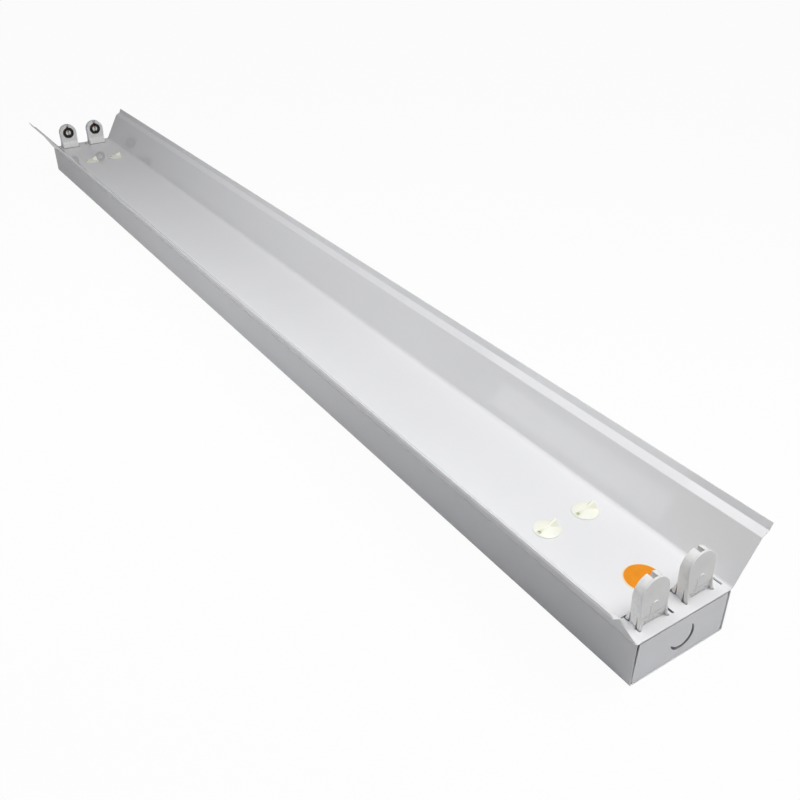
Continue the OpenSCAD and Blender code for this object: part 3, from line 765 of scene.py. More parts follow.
@dataclass(frozen=True)
class MouldedPlastic(Finish):
    """Moulded plastic: a soft colour that light enters a little, fine tool grain and satin gloss."""

    cloud: Drift = Drift(90.0, 3.0, 0.97, 1.02)
    gloss: Drift = Drift(260.0, 3.0, 0.85, 1.2)
    glow: float = 0.0
    glow_reach: float = 0.0012
    glow_tint: Colour = (1.0, 0.85, 0.55)
    layers: tuple[Relief, ...] = (Relief(900.0, 3.0, 0.000006),)
    refraction: float = 1.48
    # The painted shade colour, mixed in where the mesh's shade attribute is one
    shade_colour: Colour | None = None

    def base(self, graph: Graph) -> Socket:
        """The socket of the colour, with the painted shade colour where the mesh's shade attribute is one.

        Args:
            graph: the nodes of the material.

        Returns:
            The colour.
        """
        colour = graph.clouded(self.colour, self.cloud)
        if self.shade_colour is None:
            return colour
        return graph.mixed(graph.marked("shade"), colour, self.shade_colour)

    def settings(self) -> dict:
        """The plastic's refraction and the light that enters it."""
        return {**super().settings(), "Subsurface Weight": self.glow, "Subsurface Radius": self.glow_tint,
                "Subsurface Scale": self.glow_reach}


@dataclass(frozen=True)
class RolledMetal(Finish):
    """Rolled or plated metal: a metallic colour with fine streaks along X and cloudy gloss."""

    cloud: Drift = Drift(110.0, 4.0, 0.9, 1.05)
    gloss: Drift = Drift(160.0, 4.0, 0.75, 1.3)
    layers: tuple[Relief, ...] = (Relief(700.0, 3.0, 0.000004, (0.06, 1.0, 1.0)),)
    metallic: float = 1.0


@dataclass(frozen=True)
class PrintedFilm(Finish):
    """A round printed label: a plain colour with a pale border, on a slightly uneven film."""

    roughness: float = 0.3
    cloud: Drift = Drift(240.0, 3.0, 0.94, 1.04)
    layers: tuple[Relief, ...] = (Relief(160.0, 2.0, 0.00002),)
    refraction: float = 1.45
    border_colour: Colour = (1.0, 1.0, 1.0)
    border_blur: float = 0.00008
    middle: Triple = (0.0, 0.0, 0.0)
    printed_radius: float = 10.0

    def base(self, graph: Graph) -> Socket:
        """The socket of the ink; the border starts where sqrt(x^2 + y^2) from the middle is the radius.

        Args:
            graph: the nodes of the material.

        Returns:
            The colour.
        """
        shift = tuple(-value * MM for value in self.middle)
        centred = graph.add("Mapping", {"Vector": graph.place, "Location": shift}).outputs[0]
        flat = graph.add("VectorMath", {0: centred, 1: (1.0, 1.0, 0.0)}, operation="MULTIPLY").outputs[0]
        reach = graph.add("VectorMath", {0: flat}, operation="LENGTH").outputs["Value"]
        edge = self.printed_radius * MM
        border = graph.spread(reach, 0.0, 1.0, edge - self.border_blur, edge + self.border_blur)
        return graph.mixed(border, graph.clouded(self.colour, self.cloud), self.border_colour)


@dataclass(frozen=True)
class Insulation(Finish):
    """Soft cable insulation, with a stripe where the mesh's stripe attribute is one."""

    gloss: Drift = Drift(300.0, 3.0, 0.34, 0.5)
    layers: tuple[Relief, ...] = (Relief(500.0, 2.0, 0.00001),)
    refraction: float = 1.45
    stripe_colour: Colour | None = None
    stripe_edge: Pair = (0.45, 0.55)

    def base(self, graph: Graph) -> Socket:
        """The socket of the colour and its stripe."""
        edge = graph.spread(graph.marked("stripe"), 0.0, 1.0, *self.stripe_edge)
        return graph.mixed(edge, self.colour, self.stripe_colour or self.colour)


@dataclass(frozen=True)
class Rubber(Finish):
    """Dark rubber: matte, with a fine blotchy skin."""

    cloud: Drift = Drift(200.0, 4.0, 0.8, 1.25)
    gloss: Drift = Drift(420.0, 3.0, 0.55, 0.75)
    layers: tuple[Relief, ...] = (Relief(1100.0, 3.0, 0.000015),)


# Sub-assemblies, each with the sizes of the part's source


@dataclass(frozen=True)
class Plan:
    """Sizes that the whole fixture shares."""

    length: float = 1236.0
    end_margin: float = 17.6
    lamp_pitch: float = 41.4
    knob_inset: Pair = (93.4, 87.4)
    knob_pitch: float = 36.0
    knob_shift: float = 1.7
    plate_under: float = 35.9
    plate_top: float = 36.5

    @property
    def lamp_gap(self) -> float:
        """Distance between the lampholders' front faces."""
        return self.length - 2 * self.end_margin

    def knob_spot(self, place: Place) -> Pair:
        """Where a turn knob sits on the plate.

        Args:
            place: the place.

        Returns:
            The x and y of the knob's axis.
        """
        inset_x = self.knob_inset[0 if place.end is End.NEAR else 1]
        return (place.end.value * (self.lamp_gap / 2 - inset_x),
                place.side.value * self.knob_pitch / 2 + self.knob_shift)

    def holder_matrix(self, place: Place) -> Matrix:
        """Puts a lampholder, drawn with its front face at x = 0 and the plate at z = 0, in its corner.

        Args:
            place: the place.

        Returns:
            The matrix, with the holder turned about if it's at the far end.
        """
        shift = Vector((place.end.value * self.lamp_gap / 2, place.side.value * self.lamp_pitch / 2,
                        self.plate_top)) * MM
        spin = Matrix.Rotation(0.0 if place.end is End.NEAR else math.pi, 4, "Z")
        return Matrix.Translation(shift) @ spin

    def knob_matrix(self, place: Place) -> Matrix:
        """Puts a knob, drawn on z = 0, in its corner."""
        return Matrix.Translation(Vector((*self.knob_spot(place), self.plate_top)) * MM)


@dataclass(frozen=True)
class Housing:
    """The sheet-steel housing that is screwed to the ceiling, with all that is fixed in it."""

    plan: Plan
    width: float = 85.5
    height: float = 35.8
    sheet: float = 0.7
    lip: float = 7.5
    lip_cut: float = 33.0
    fold_r: float = 1.1
    mount_pitch: Pair = (800.0, 40.0)
    mount_hole_d: float = 5.5
    entry_x: float = 60.0
    entry_d: float = 20.0
    bush_bore_d: float = 13.0
    bush_rise: float = 5.0
    bush_collar: float = 1.6
    bush_flange: float = 3.0
    bush_flange_t: float = 1.6
    end_inset: float = 0.5
    end_flange: float = 10.0
    end_notch: float = 1.8
    end_top_gap: float = 1.5
    knockout_middle: Pair = (1.7, 17.6)
    knockout_r: float = 10.6
    knockout_gap: float = 3.4
    knockout_turn: float = -60.0
    knockout_span: float = 102.0
    corner_gap: float = 2.8
    corner_gap_l: float = 52.0
    bracket_l: float = 24.0
    bracket_t: float = 0.9
    bracket_dip_w: float = 17.0
    bracket_dip: float = 12.0
    bracket_w: float = 58.0
    bracket_foot: float = 7.0
    bracket_fold_r: float = 1.6
    bracket_hole_d: float = 6.6
    pad_top: float = 34.9
    stud_place: Pair = (100.0, -25.0)
    crescent_points: int = 49
    bush_fit: float = 0.05
    bush_lip: float = 0.45

    def channel(self) -> Piece:
        """The channel: back, side walls and lips in one folded sheet, with its holes.

        Returns:
            The piece.
        """
        half = (self.width - self.sheet) / 2
        low, high = self.sheet / 2, self.height - self.sheet / 2
        line = both_sides([(half, low), (half, high), (self.width / 2 - self.lip, high)])
        sheet = FoldedSheet(line, (self.fold_r,) * len(line), self.sheet)
        end = self.plan.length / 2
        piece = sheet.shell(-end, end, Axis.X, 20).piece("channel")
        wall = self.width / 2 - self.sheet
        base, top = self.height - self.fold_r - self.sheet, self.height + OVERRUN
        inner, outer = end - self.lip_cut, end + OVERRUN
        cuts = [block((start, -wall, base), (stop, wall, top))
                for start, stop in ((inner, outer), (-outer, -inner))]
        px, py = self.mount_pitch
        cuts += [rod(self.mount_hole_d / 2, -OVERRUN, 2 * OVERRUN, Axis.Z).moved(x * px / 2, y * py / 2, 0)
                 for x in (-1, 1) for y in (-1, 1)]
        cuts.append(rod(self.entry_d / 2, -OVERRUN, 2 * OVERRUN, Axis.Z, 64).moved(self.entry_x, 0, 0))
        return combine(piece, cuts, Cut.REMOVE)

    def end_plate(self) -> Piece:
        """The near end plate: a strip folded back at both sides, with the sheared knockout.

        Returns:
            The piece.
        """
        face = self.plan.length / 2 - self.end_inset - self.sheet / 2
        side = self.width / 2 - self.sheet * 1.5
        back = face - self.end_flange
        top = self.height - self.end_top_gap
        line = ((back, -side), (face, -side), (face, side), (back, side))
        sheet = FoldedSheet(line, (self.fold_r,) * len(line), self.sheet)
        piece = sheet.shell(self.sheet, top, Axis.Z, 8).piece("end_plate")
        wall, notch = self.width / 2 - self.sheet, self.end_notch
        cuts = [block((back - OVERRUN, y - notch, z - notch), (face + 2 * OVERRUN, y + notch, z + notch))
                for y in (-wall, wall) for z in (self.sheet, top)]
        for shells in (cuts, [self.open_corner(back, face, wall, top)], [self.crescent(face)]):
            combine(piece, shells, Cut.REMOVE)
        return piece

    def open_corner(self, back: float, face: float, wall: float, top: float) -> Shell:
        """The gap that opens towards the top between the plate's left fold and the channel's wall.

        Args:
            back: the back edge of the plate's folds.
            face: the plate's face.
            wall: the wall's inner face.
            top: the plate's top.

        Returns:
            The shell.
        """
        high, low, out = top + OVERRUN, top - self.corner_gap_l, -wall - OVERRUN
        loop = np.array([(out, high), (out, low), (-wall, low), (-wall + self.corner_gap, high)])
        return skin(along(loop, np.array([back - OVERRUN, face + OVERRUN]), Axis.X))

    def crescent(self, face: float) -> Shell:
        """The opening beside the knockout's disc, which is bent in at its free side.

        Its outer edge is an arc; inwards it is gap * sqrt(cos(a)) wide, where a runs from -90 to 90 degrees.

        Args:
            face: the place of the end plate on X.

        Returns:
            The shell to cut with.
        """
        share = np.linspace(-1, 1, self.crescent_points)
        turn = np.radians(self.knockout_turn + self.knockout_span * share)
        wide = self.knockout_gap * np.sqrt(np.clip(np.cos(share * math.pi / 2), 0, 1))
        ring = np.stack([np.cos(turn), np.sin(turn)], axis=-1)
        outer = np.array(self.knockout_middle) + ring * self.knockout_r
        inner = np.array(self.knockout_middle) + ring * (self.knockout_r - wide)[:, None]
        loop = np.concatenate([outer, inner[-2:0:-1]])
        levels = np.array([face - 3 * OVERRUN, face + 3 * OVERRUN])
        return skin(along(loop, levels, Axis.X), Cap.LADDER)

    def bracket(self, end: End) -> Piece:
        """A bracket: a folded strip with two towers that the knobs lock into.

        Args:
            end: the end.

        Returns:
            The piece.
        """
        low = self.sheet + self.bracket_t / 2
        high = self.pad_top - self.bracket_t / 2
        inner = (self.bracket_dip_w + self.bracket_t) / 2
        outer = (self.bracket_w - self.bracket_t) / 2
        line = both_sides([(inner, high - self.bracket_dip), (inner, high), (outer, high), (outer, low),
                           (outer + self.bracket_foot, low)])
        sheet = FoldedSheet(line, (self.bracket_fold_r,) * len(line), self.bracket_t)
        spots = [self.plan.knob_spot(Place(end, side)) for side in Side]
        x, half = spots[0][0], self.bracket_l / 2
        piece = sheet.shell(x - half, x + half, Axis.X, 3).piece(f"knob_bracket_{end.name.lower()}_sheet")
        start, stop = high - 3 * OVERRUN, high + 3 * OVERRUN
        cuts = [rod(self.bracket_hole_d / 2, start, stop, Axis.Z).moved(*spot, 0) for spot in spots]
        return combine(piece, cuts, Cut.REMOVE)

    def bush(self) -> Piece:
        """The bush in the cable entry: a turned section with a flange, a collar and rounded lips.

        Returns:
            The piece.
        """
        bore, neck = self.bush_bore_d / 2, self.entry_d / 2 - self.bush_fit
        collar, flange = bore + self.bush_collar, self.entry_d / 2 + self.bush_flange
        top, shelf, lip = self.sheet + self.bush_rise, self.sheet + self.bush_flange_t, self.bush_lip
        section = np.array([
            (bore, lip), (bore + lip, 0), (neck - lip / 2, 0), (neck, lip / 2), (neck, self.sheet),
            (flange - lip, self.sheet), (flange, self.sheet + lip), (flange, shelf - lip),
            (flange - lip, shelf), (collar + lip, shelf), (collar, shelf + lip), (collar, top - lip),
            (collar - lip, top), (bore + lip, top), (bore, top - lip), (bore, lip)])
        return lathe(section, Axis.Z).moved(self.entry_x, 0, 0).piece("cable_bush_ring")

    def stud(self) -> Piece:
        """The earth stud, standing on the back sheet."""
        return EarthStud().shell(0.0).moved(*self.stud_place, self.sheet).piece("housing_stud", 25.0)

    def build(self, looks: "Looks") -> None:
        """Makes and dresses every piece of the housing.

        Args:
            looks: the finishes.
        """
        channel = self.channel()
        fit(channel, "housing", "housing_enamel", looks.housing_coat, "housing_channel")
        even_shading(channel)
        pattern = self.end_plate()
        for end in End:
            spin = Matrix.Rotation(0.0 if end is End.NEAR else math.pi, 4, "Z")
            plate = copy_at(pattern, f"end_plate_{end.name.lower()}_sheet", spin)
            fit(plate, "housing", "housing_enamel", looks.housing_coat, f"end_plate_{end.name.lower()}")
            bracket = self.bracket(end)
            fit(bracket, "housing", "zinc_sheet", looks.zinc, f"bracket_{end.name.lower()}")
            even_shading(plate)
            even_shading(bracket)
        discard(pattern)
        fit(self.bush(), "housing", "bush_rubber", looks.rubber, "cable_bush")
        fit(self.stud(), "housing", "earth_brass", looks.stud_brass, "housing_earth_stud")


@dataclass(frozen=True)
class EarthStud:
    """An M4 stud with its washer and nut, standing on z = 0."""

    diameter: float = 4.0
    length: float = 12.0
    pitch: float = 0.7
    thread_depth: float = 0.42
    washer_d: float = 9.0
    washer_t: float = 0.8
    nut_d: float = 8.1
    nut_t: float = 3.2
    clearance: float = 0.05
    around: int = 72
    tip_chamfer: float = 0.6
    washer_r: float = 0.15
    nut_chamfer: float = 0.4
    nut_slope: float = 2.2

    def shell(self, clamped: float) -> Shell:
        """Stud, washer and nut, with room under the washer for what is clamped there.

        Args:
            clamped: the thickness that the nut holds.

        Returns:
            The shell.
        """
        hole = self.diameter / 2 + self.clearance
        nut_foot = clamped + self.washer_t
        washer = lathe(ring_profile(hole, self.washer_d / 2, clamped, nut_foot, self.washer_r), Axis.Z)
        return joined(self.thread(), washer, self.nut().moved(0, 0, nut_foot))

    def thread(self) -> Shell:
        """The threaded rod: r = R - depth * |2 frac(z / pitch - turns) - 1|, with a chamfered tip.

        Returns:
            The shell.
        """
        around, rows = 32, 120
        turns = np.arange(around) / around
        z = np.linspace(0, self.length, rows)
        phase = (z[:, None] / self.pitch - turns[None]) % 1.0
        radius = self.diameter / 2 - self.thread_depth * np.abs(2 * phase - 1)
        tip = self.diameter / 2 - np.maximum(0, z[:, None] - self.length + self.tip_chamfer)
        return skin(polar(np.minimum(radius, tip), z, Axis.Z), Cap.POLE)

    def nut(self) -> Shell:
        """The nut: a hexagon whose corners are taken off by a cone at both ends, with its bore.

        Radius = min(hexagon's polar radius, flat + slope * distance from the end).

        Returns:
            The shell.
        """
        t = np.arange(self.around) * 2 * math.pi / self.around
        flat = self.nut_d / 2 * math.cos(math.pi / 6)
        hexagon = flat / np.cos((t % (math.pi / 3)) - math.pi / 6)
        rise = np.array([0.0, 0.5, 1.0]) * self.nut_chamfer
        z = np.concatenate([rise, (self.nut_t - rise)[::-1]])
        cone = flat + self.nut_slope * np.minimum(z, self.nut_t - z)
        radius = np.minimum(hexagon[None], cone[:, None])
        bore = np.full((1, self.around), self.diameter / 2 + self.clearance)
        levels = np.concatenate([z[:1], z, z[-1:]])
        return skin(polar(np.concatenate([bore, radius, bore]), levels, Axis.Z), Cap.RING)


@dataclass(frozen=True)
class Reflector:
    """The folded tray: a flat plate with two flared wings, with openings for what it carries."""

    plan: Plan
    sheet: float = 0.6
    plate_w: float = 86.4
    wing: Pair = (19.6, 33.5)
    band: Pair = (5.9, 3.4)
    edge: Pair = (2.6, 5.3)
    wing_fold_r: float = 4.5
    fold_r: float = 1.1
    holder_w: float = 22.7
    slot_front: float = 3.55
    slot_wide_back: float = 0.62
    slot_back: float = 7.6
    slot_side: float = 0.8
    slot_ear: Pair = (1.8, 0.8)
    foot_slit: Triple = (6.6, 11.0, 1.85)
    slot_fit: float = 0.1
    slit_back: float = 11.0
    slit_w: float = 1.7
    slit_l: float = 9.0
    slit_from_left_axis: float = 15.6
    slit_from_right_axis: float = 19.5
    shank_hole_d: float = 6.16

    def tray(self) -> Piece:
        """The tray: plate, wings, flatter bands and steep edge strips in one folded sheet.

        Returns:
            The piece.
        """
        level = self.plan.plate_top - self.sheet / 2
        y, line = self.plate_w / 2, [(self.plate_w / 2, level)]
        z = level
        for run, rise in (self.wing, self.band, self.edge):
            y, z = y + run, z + rise
            line.append((y, z))
        radii = (self.fold_r,) * 3 + (self.wing_fold_r,) * 2 + (self.fold_r,) * 3
        end = self.plan.length / 2
        sheet = FoldedSheet(both_sides(line), radii, self.sheet, 10)
        piece = sheet.shell(-end, end, Axis.X, 24).piece("reflector_tray_sheet")
        return combine(piece, self.openings(), Cut.REMOVE)

    def openings(self) -> list[Shell]:
        """What is cut out of the plate: the lampholders' slots, a slit beside each, and the knobs' holes.

        Returns:
            The shells.
        """
        levels = np.array([self.plan.plate_under - OVERRUN, self.plan.plate_top + OVERRUN])
        inner = self.holder_w / 2
        half, wide, foot = inner + self.slot_fit, inner + self.slot_side, inner + self.foot_slit[2]
        start, stop, _ = self.foot_slit
        ear, ear_l = self.slot_ear
        hole = rod(self.shank_hole_d / 2, *levels, Axis.Z)
        cuts = []
        for place in PLACES:
            e, s = place.end.value, place.side.value
            x0, y0 = e * self.plan.lamp_gap / 2, s * self.plan.lamp_pitch / 2
            slit = self.slit_from_left_axis if e == -s else self.slit_from_right_axis
            right = [(-self.slot_front - ear_l, wide + ear), (-self.slot_front, wide + ear),
                     (-self.slot_front, wide), (self.slot_wide_back, wide), (self.slot_wide_back, half),
                     (start, half), (start, foot), (stop, foot), (stop, inner), (self.slot_back, inner)]
            slot = np.array([(x, -y) for x, y in right] + right[::-1])
            near, far, past = self.slit_back - self.slit_l, self.slit_back, slit + self.slit_w
            side = np.array([(near, slit), (far, slit), (far, past), (near, past)])
            cuts += [skin(along(loop * e, levels, Axis.Z)).moved(x0, y0, 0) for loop in (slot, side)]
            cuts.append(hole.moved(*self.plan.knob_spot(place), 0))
        return cuts

    def build(self, looks: "Looks") -> None:
        """Makes and dresses the tray.

        Args:
            looks: the finishes.
        """
        piece = self.tray()
        fit(piece, "reflector_tray", "reflector_enamel", looks.tray_coat, "reflector")
        even_shading(piece)


@dataclass(frozen=True)
class Lampholder:
    """One lampholder, drawn with its front face at x = 0, its cover towards +X and the plate at z = 0."""

    plan: Plan
    width: float = 24.6
    base_w: float = 22.7
    axis_h: float = 22.2
    depth: float = 10.0
    top_depth: float = 7.1
    cover_t: float = 1.5
    pin_notch_w: float = 3.0
    notch_mouth_w: float = 4.2
    notch_mouth_z: float = 32.0
    flap_reach: float = 3.1
    flap_h: float = 8.5
    flap_rise: float = 9.6
    flap_bulge: float = 0.85
    flap_flare: float = 0.2
    flap_foot: float = -0.01
    flap_share_most: float = 1.2
    slit_x: float = 0.62
    slit_bow: float = 0.4
    slit_w: float = 0.9
    slit_top: float = 8.2
    finger_reach: float = 1.1
    finger_back: float = 0.6
    finger_h: float = 11.0
    finger_foot: float = -1.2
    finger_w: float = 1.3
    finger_gap: float = 0.2
    back_slit_w: float = 2.3
    hollow: float = 1.9
    cover_side: float = 0.85
    neck_lean: float = 0.3
    neck_front: float = 1.3
    neck_back: float = 5.9
    neck_side: float = 1.0
    foot_depth: float = 9.0
    hook_reach: float = 2.8
    hook_t: float = 1.2
    plate_t: float = 0.6
    recess_d: float = 16.4
    recess_depth: float = 3.6
    hub_d: float = 7.4
    rotor_fit: float = 0.05
    rotor_front: float = 0.3
    rotor_back: float = 3.5
    rotor_web: float = 0.8
    rotor_slot_w: float = 2.8
    hub_fit: float = 0.1
    pocket_front: float = 4.4
    front_r: float = 0.5
    seam_r: float = 0.05
    seam_gap: float = 0.02
    cover_r: float = 0.45
    cover_lift: float = 0.02
    cover_inner_share: float = 0.3
    hub_start: float = 0.05
    hub_root: float = 0.2
    hub_r: float = 0.35
    mouth_taper: float = 2.0
    mouth_fit: float = 0.05
    neck_r: float = 0.6
    neck_foot_r: float = 0.5
    neck_root: float = 1.0
    hook_inset: float = 0.2
    slit_bow_share: float = 0.6
    slit_tip_share: float = 0.004
    wire_hole: Triple = (1.35, 4.0, -4.8)
    finger_curve: float = 1.3
    finger_taper: float = 0.5
    finger_sink: float = 0.01
    hollow_curve: float = 1.15
    middle_root: Pair = (0.05, 0.6)
    seam_y: Pair = (-4.0, -3.5)
    seam_runs: tuple[Pair, ...] = ((7.9, 15.2), (0.6, 6.9))
    ledge_z: Pair = (7.25, 7.75)
    mark_depth: float = 0.6
    mark_side: float = 1.6
    line_z: Pair = (4.7, 4.95)
    line_break: Pair = (-4.2, -3.3)
    line_depth: float = 0.4
    tick_tops: tuple[Pair, ...] = (
        (-9.2, 1.9), (-5.8, 2.9), (-1.9, 2.2), (0.3, 3.2), (2.3, 2.0), (4.3, 2.6), (8.0, 2.2))
    tick_half: float = 0.45
    tick_foot: float = 0.6
    tick_depth: float = 0.8
    release_r: float = 0.65
    release_y: Pair = (-7.38, 5.9)
    release_z: float = 3.8
    nib_z: float = 15.1
    nib_arc: Pair = (2.3, 2.1)
    nib_r: Pair = (0.3, 0.4)
    nib_over: float = 0.15
    nib_curve: float = 0.6
    rotor_r: float = 0.35
    rotor_corner_share: float = 0.3
    rotor_groove: Pair = (0.5, 0.3)
    leaf_gap: float = 0.1
    leaf_t: float = 0.45
    leaf_bow: float = 0.06
    leaf_rise: Pair = (-28.6, 4.2)
    leaf_foot: float = -3.4
    leaf_y: Pair = (0.45, 7.6)
    tail_y: Pair = (3.1, 4.9)
    tip_y: Pair = (0.45, 1.25)
    tip_line: tuple[Pair, ...] = (
        (1.3, 0.6), (1.3, 2.9), (1.75, 3.3), (5.1, 3.3), (5.1, 2.9), (1.95, 2.9), (1.75, 2.7), (1.75, 0.6))

    @property
    def arch_r(self) -> float:
        """Radius of the arch."""
        return self.width / 2

    def arch(self, base: float = 0.0, steps: int = 28) -> Array:
        """The arch's outline in (y, z), mirrored halves: straight sides that widen, then a half circle.

        Args:
            base: the foot's level.
            steps: one more than the points on each quarter of the circle.

        Returns:
            The loop.
        """
        rise = np.linspace(base, self.axis_h, 15)[:-1]
        half = self.base_w / 2 + (self.arch_r - self.base_w / 2) * np.clip(rise, 0, None) / self.axis_h
        t = np.linspace(0, math.pi / 2, steps)[:-1] + math.pi / 4 / steps
        y = np.concatenate([half, self.arch_r * np.cos(t)])
        z = np.concatenate([rise, self.axis_h + self.arch_r * np.sin(t)])
        return np.concatenate([np.stack([-y, z], axis=-1), np.stack([y, z], axis=-1)[::-1]])

    def cover_x(self, z: Array) -> Array:
        """Depth of the cover's outer face at height z: it leans forward in a straight line."""
        height = self.axis_h + self.arch_r
        return self.depth - (self.depth - self.top_depth) * z / height

    def front_x(self, z: Array) -> Array:
        """The front face at height z: 0 above the flap, and -reach (1 - z / h)^bulge on it."""
        return -self.flap_reach * np.clip(1 - z / self.flap_rise, 0, self.flap_share_most) ** self.flap_bulge

    def middle_x(self, z: Array) -> Array:
        """Depth of the cover's middle at height z: drawn in below the fingers' top by up to the hollow."""
        return self.cover_x(z) - self.hollow * np.clip(1 - z / self.finger_h, 0, 1) ** self.hollow_curve

    def slit_x_at(self, z: Array) -> Array:
        """Middle of the slit behind the flap at height z: x0 - b (z / (0.6 h) - 1)^2."""
        return self.slit_x - self.slit_bow * (z / (self.slit_bow_share * self.flap_h) - 1) ** 2

    def body(self) -> Piece:
        """The front shell with its recess, split hub, notch, spring flap, neck, foot and hooks.

        Returns:
            The piece.
        """
        outline = self.arch()
        rows = []
        for turn in QUARTER:
            loop = inset(outline, self.front_r * (1 - math.sin(turn)))
            front = self.front_x(loop[:, 1]) + self.front_r * (1 - math.cos(turn))
            rows.append(np.column_stack([front, loop]))
        for turn in QUARTER[::-1]:
            loop = inset(outline, self.seam_r * (1 - math.sin(turn)))
            back = self.cover_x(loop[:, 1]) - self.cover_t - self.seam_gap
            rows.append(np.column_stack([back - self.seam_r * (1 - math.cos(turn)), loop]))
        piece = skin(np.stack(rows), Cap.LADDER).piece("holder_pattern")
        recess = rod(self.recess_d / 2, -OVERRUN, self.recess_depth, Axis.X, 72).moved(0, 0, self.axis_h)
        combine(piece, [recess, self.undercut()], Cut.REMOVE)
        hub_back = self.recess_depth + self.hub_root
        hub = prism(circle(self.hub_d / 2), self.hub_start, hub_back, self.hub_r, Axis.X)
        combine(piece, [hub.moved(0, 0, self.axis_h), self.neck(), self.hooks()], Cut.FUSE)
        for cut in (self.notch(), self.notch_mouth(), self.flap_slit()):
            combine(piece, [cut], Cut.REMOVE)
        combine(piece, self.wire_holes(), Cut.REMOVE)
        return self.flared(piece)

    def flared(self, piece: Piece) -> Piece:
        """Spreads the flap's sides towards its foot: |y| grows by flare (1 - z / h) at the outer corners.

        Args:
            piece: the piece.

        Returns:
            The piece.
        """
        corners = corners_of(piece.data)
        x, y, z = corners.T / MM
        share = np.clip(1 - z / self.flap_h, 0, 1)
        on_flap = (x < self.slit_x_at(z)) & (z > self.flap_foot)
        widened = y + np.where(on_flap, self.flap_flare * share * y / (self.base_w / 2), 0.0)
        corners[:, 1] = widened * MM
        piece.data.vertices.foreach_set("co", corners.ravel())
        piece.data.update()
        return piece

    def notch_mouth(self) -> Shell:
        """The notch's mouth in the arch, which spreads towards the top so that the pins find it.

        Returns:
            The shell.
        """
        low, high = self.pin_notch_w / 2 - self.mouth_fit, self.notch_mouth_w / 2
        foot, top = self.notch_mouth_z - self.mouth_taper, self.axis_h + self.arch_r + OVERRUN
        loop = np.array([(-low, foot), (low, foot), (high, self.notch_mouth_z), (high, top),
                         (-high, top), (-high, self.notch_mouth_z)])
        return skin(along(loop, np.array([-OVERRUN, self.depth]), Axis.X))

    def neck(self) -> Shell:
        """The neck and foot below the plate, as a rounded block that ends inside the body.

        Returns:
            The shell.
        """
        half = self.base_w / 2 - self.neck_side
        loop = oblong(self.neck_back - self.neck_front, 2 * half, self.neck_r) + np.array(
            [(self.neck_front + self.neck_back) / 2, 0.0])
        return prism(loop, -self.foot_depth, self.neck_root, self.neck_foot_r, Axis.Z)

    def hooks(self) -> Shell:
        """The snap hook under the plate on each side, one section carried through the neck.

        Returns:
            The shell.
        """
        half = self.base_w / 2 - self.neck_side
        grip = self.base_w / 2 + self.hook_reach
        under, t = -self.plate_t - self.seam_gap, self.hook_t
        loop = np.array([(grip, under), (-grip, under), (-grip, under - t), (-half, under - 2 * t),
                         (half, under - 2 * t), (grip, under - t)])
        front, back = self.neck_front + self.hook_inset, self.neck_back - self.hook_inset
        return prism(loop, front, back, self.hook_inset, Axis.X)

    def notch(self) -> Shell:
        """What the pins' way in takes away: a slot from the hub's foot up through the arch.

        Returns:
            The shell.
        """
        half, foot = self.pin_notch_w / 2, self.axis_h - self.recess_d / 2
        high = self.axis_h + self.arch_r + OVERRUN
        steps = [(-OVERRUN, foot), (self.recess_depth, foot), (self.recess_depth, self.axis_h),
                 (self.depth, self.axis_h), (self.depth, high), (-OVERRUN, high)]
        return skin(along(np.array(steps), np.array([-half, half]), Axis.Y))

    def undercut(self) -> Shell:
        """What is taken away under the body's back, where the cover's fingers stand.

        Returns:
            The shell.
        """
        far, lean = 2 * self.depth, self.neck_back + self.neck_lean
        steps = [(self.neck_back, -OVERRUN), (self.neck_back, 0), (lean, self.flap_h),
                 (far, self.flap_h), (far, -OVERRUN)]
        return skin(along(np.array(steps), np.array([-self.width, self.width]), Axis.Y))

    def flap_slit(self) -> Shell:
        """The bowed slit that frees the flap from the neck, half as wide as w sqrt(1 - (z / top)^3).

        Returns:
            The shell.
        """
        z = np.concatenate([[-OVERRUN], np.linspace(0, self.slit_top, 14)])
        middle = self.slit_x_at(z)
        half = self.slit_w / 2 * np.sqrt(np.clip(1 - (z / self.slit_top) ** 3, self.slit_tip_share, 1))
        loop = np.concatenate([np.stack([middle - half, z], -1), np.stack([middle + half, z], -1)[::-1]])
        return skin(along(loop, np.array([-self.width, self.width]), Axis.Y), Cap.LADDER)

    def wire_holes(self) -> list[Shell]:
        """The two wire entries in the foot."""
        radius, out, z = self.wire_hole
        return [rod(radius, 0.0, self.pocket_front, Axis.X, 24).moved(0, y, z) for y in (-out, out)]

    def cover(self) -> Piece:
        """The leaning outer plate, drawn in between its corner fingers, with its marks and nib.

        Returns:
            The piece.
        """
        outline = self.arch(self.cover_lift)
        levels, depths = rounded(0.0, self.cover_t, self.cover_r)
        depths[: len(depths) // 2] *= self.cover_inner_share
        loops = np.stack([inset(outline, depth) for depth in depths])
        face = self.cover_x(loops[..., 1]) - self.cover_t + levels[:, None]
        piece = skin(np.concatenate([face[..., None], loops], axis=-1), Cap.LADDER).piece("cover_pattern")
        for shells, cut in (([self.below_body()], Cut.REMOVE), ([self.middle()], Cut.FUSE),
                            ([self.hollow_cut()], Cut.REMOVE),
                            ([self.finger(side) for side in (-1, 1)], Cut.FUSE),
                            (self.cover_marks(), Cut.REMOVE), ([self.nib()], Cut.FUSE)):
            combine(piece, shells, cut)
        return piece

    def finger_line(self, z: Array) -> tuple[Array, Array]:
        """The finger's outer and inner places on Y at height z: the arch's side plus its share of reach.

        Args:
            z: the heights.

        Returns:
            The y of both its edges.
        """
        share = np.clip(1 - z / self.finger_h, 0, 1)
        side = self.base_w / 2 + (self.arch_r - self.base_w / 2) * z / self.axis_h
        outer = side + self.finger_reach * share**self.finger_curve
        return outer, outer - self.finger_w - self.finger_taper * (1 - share)

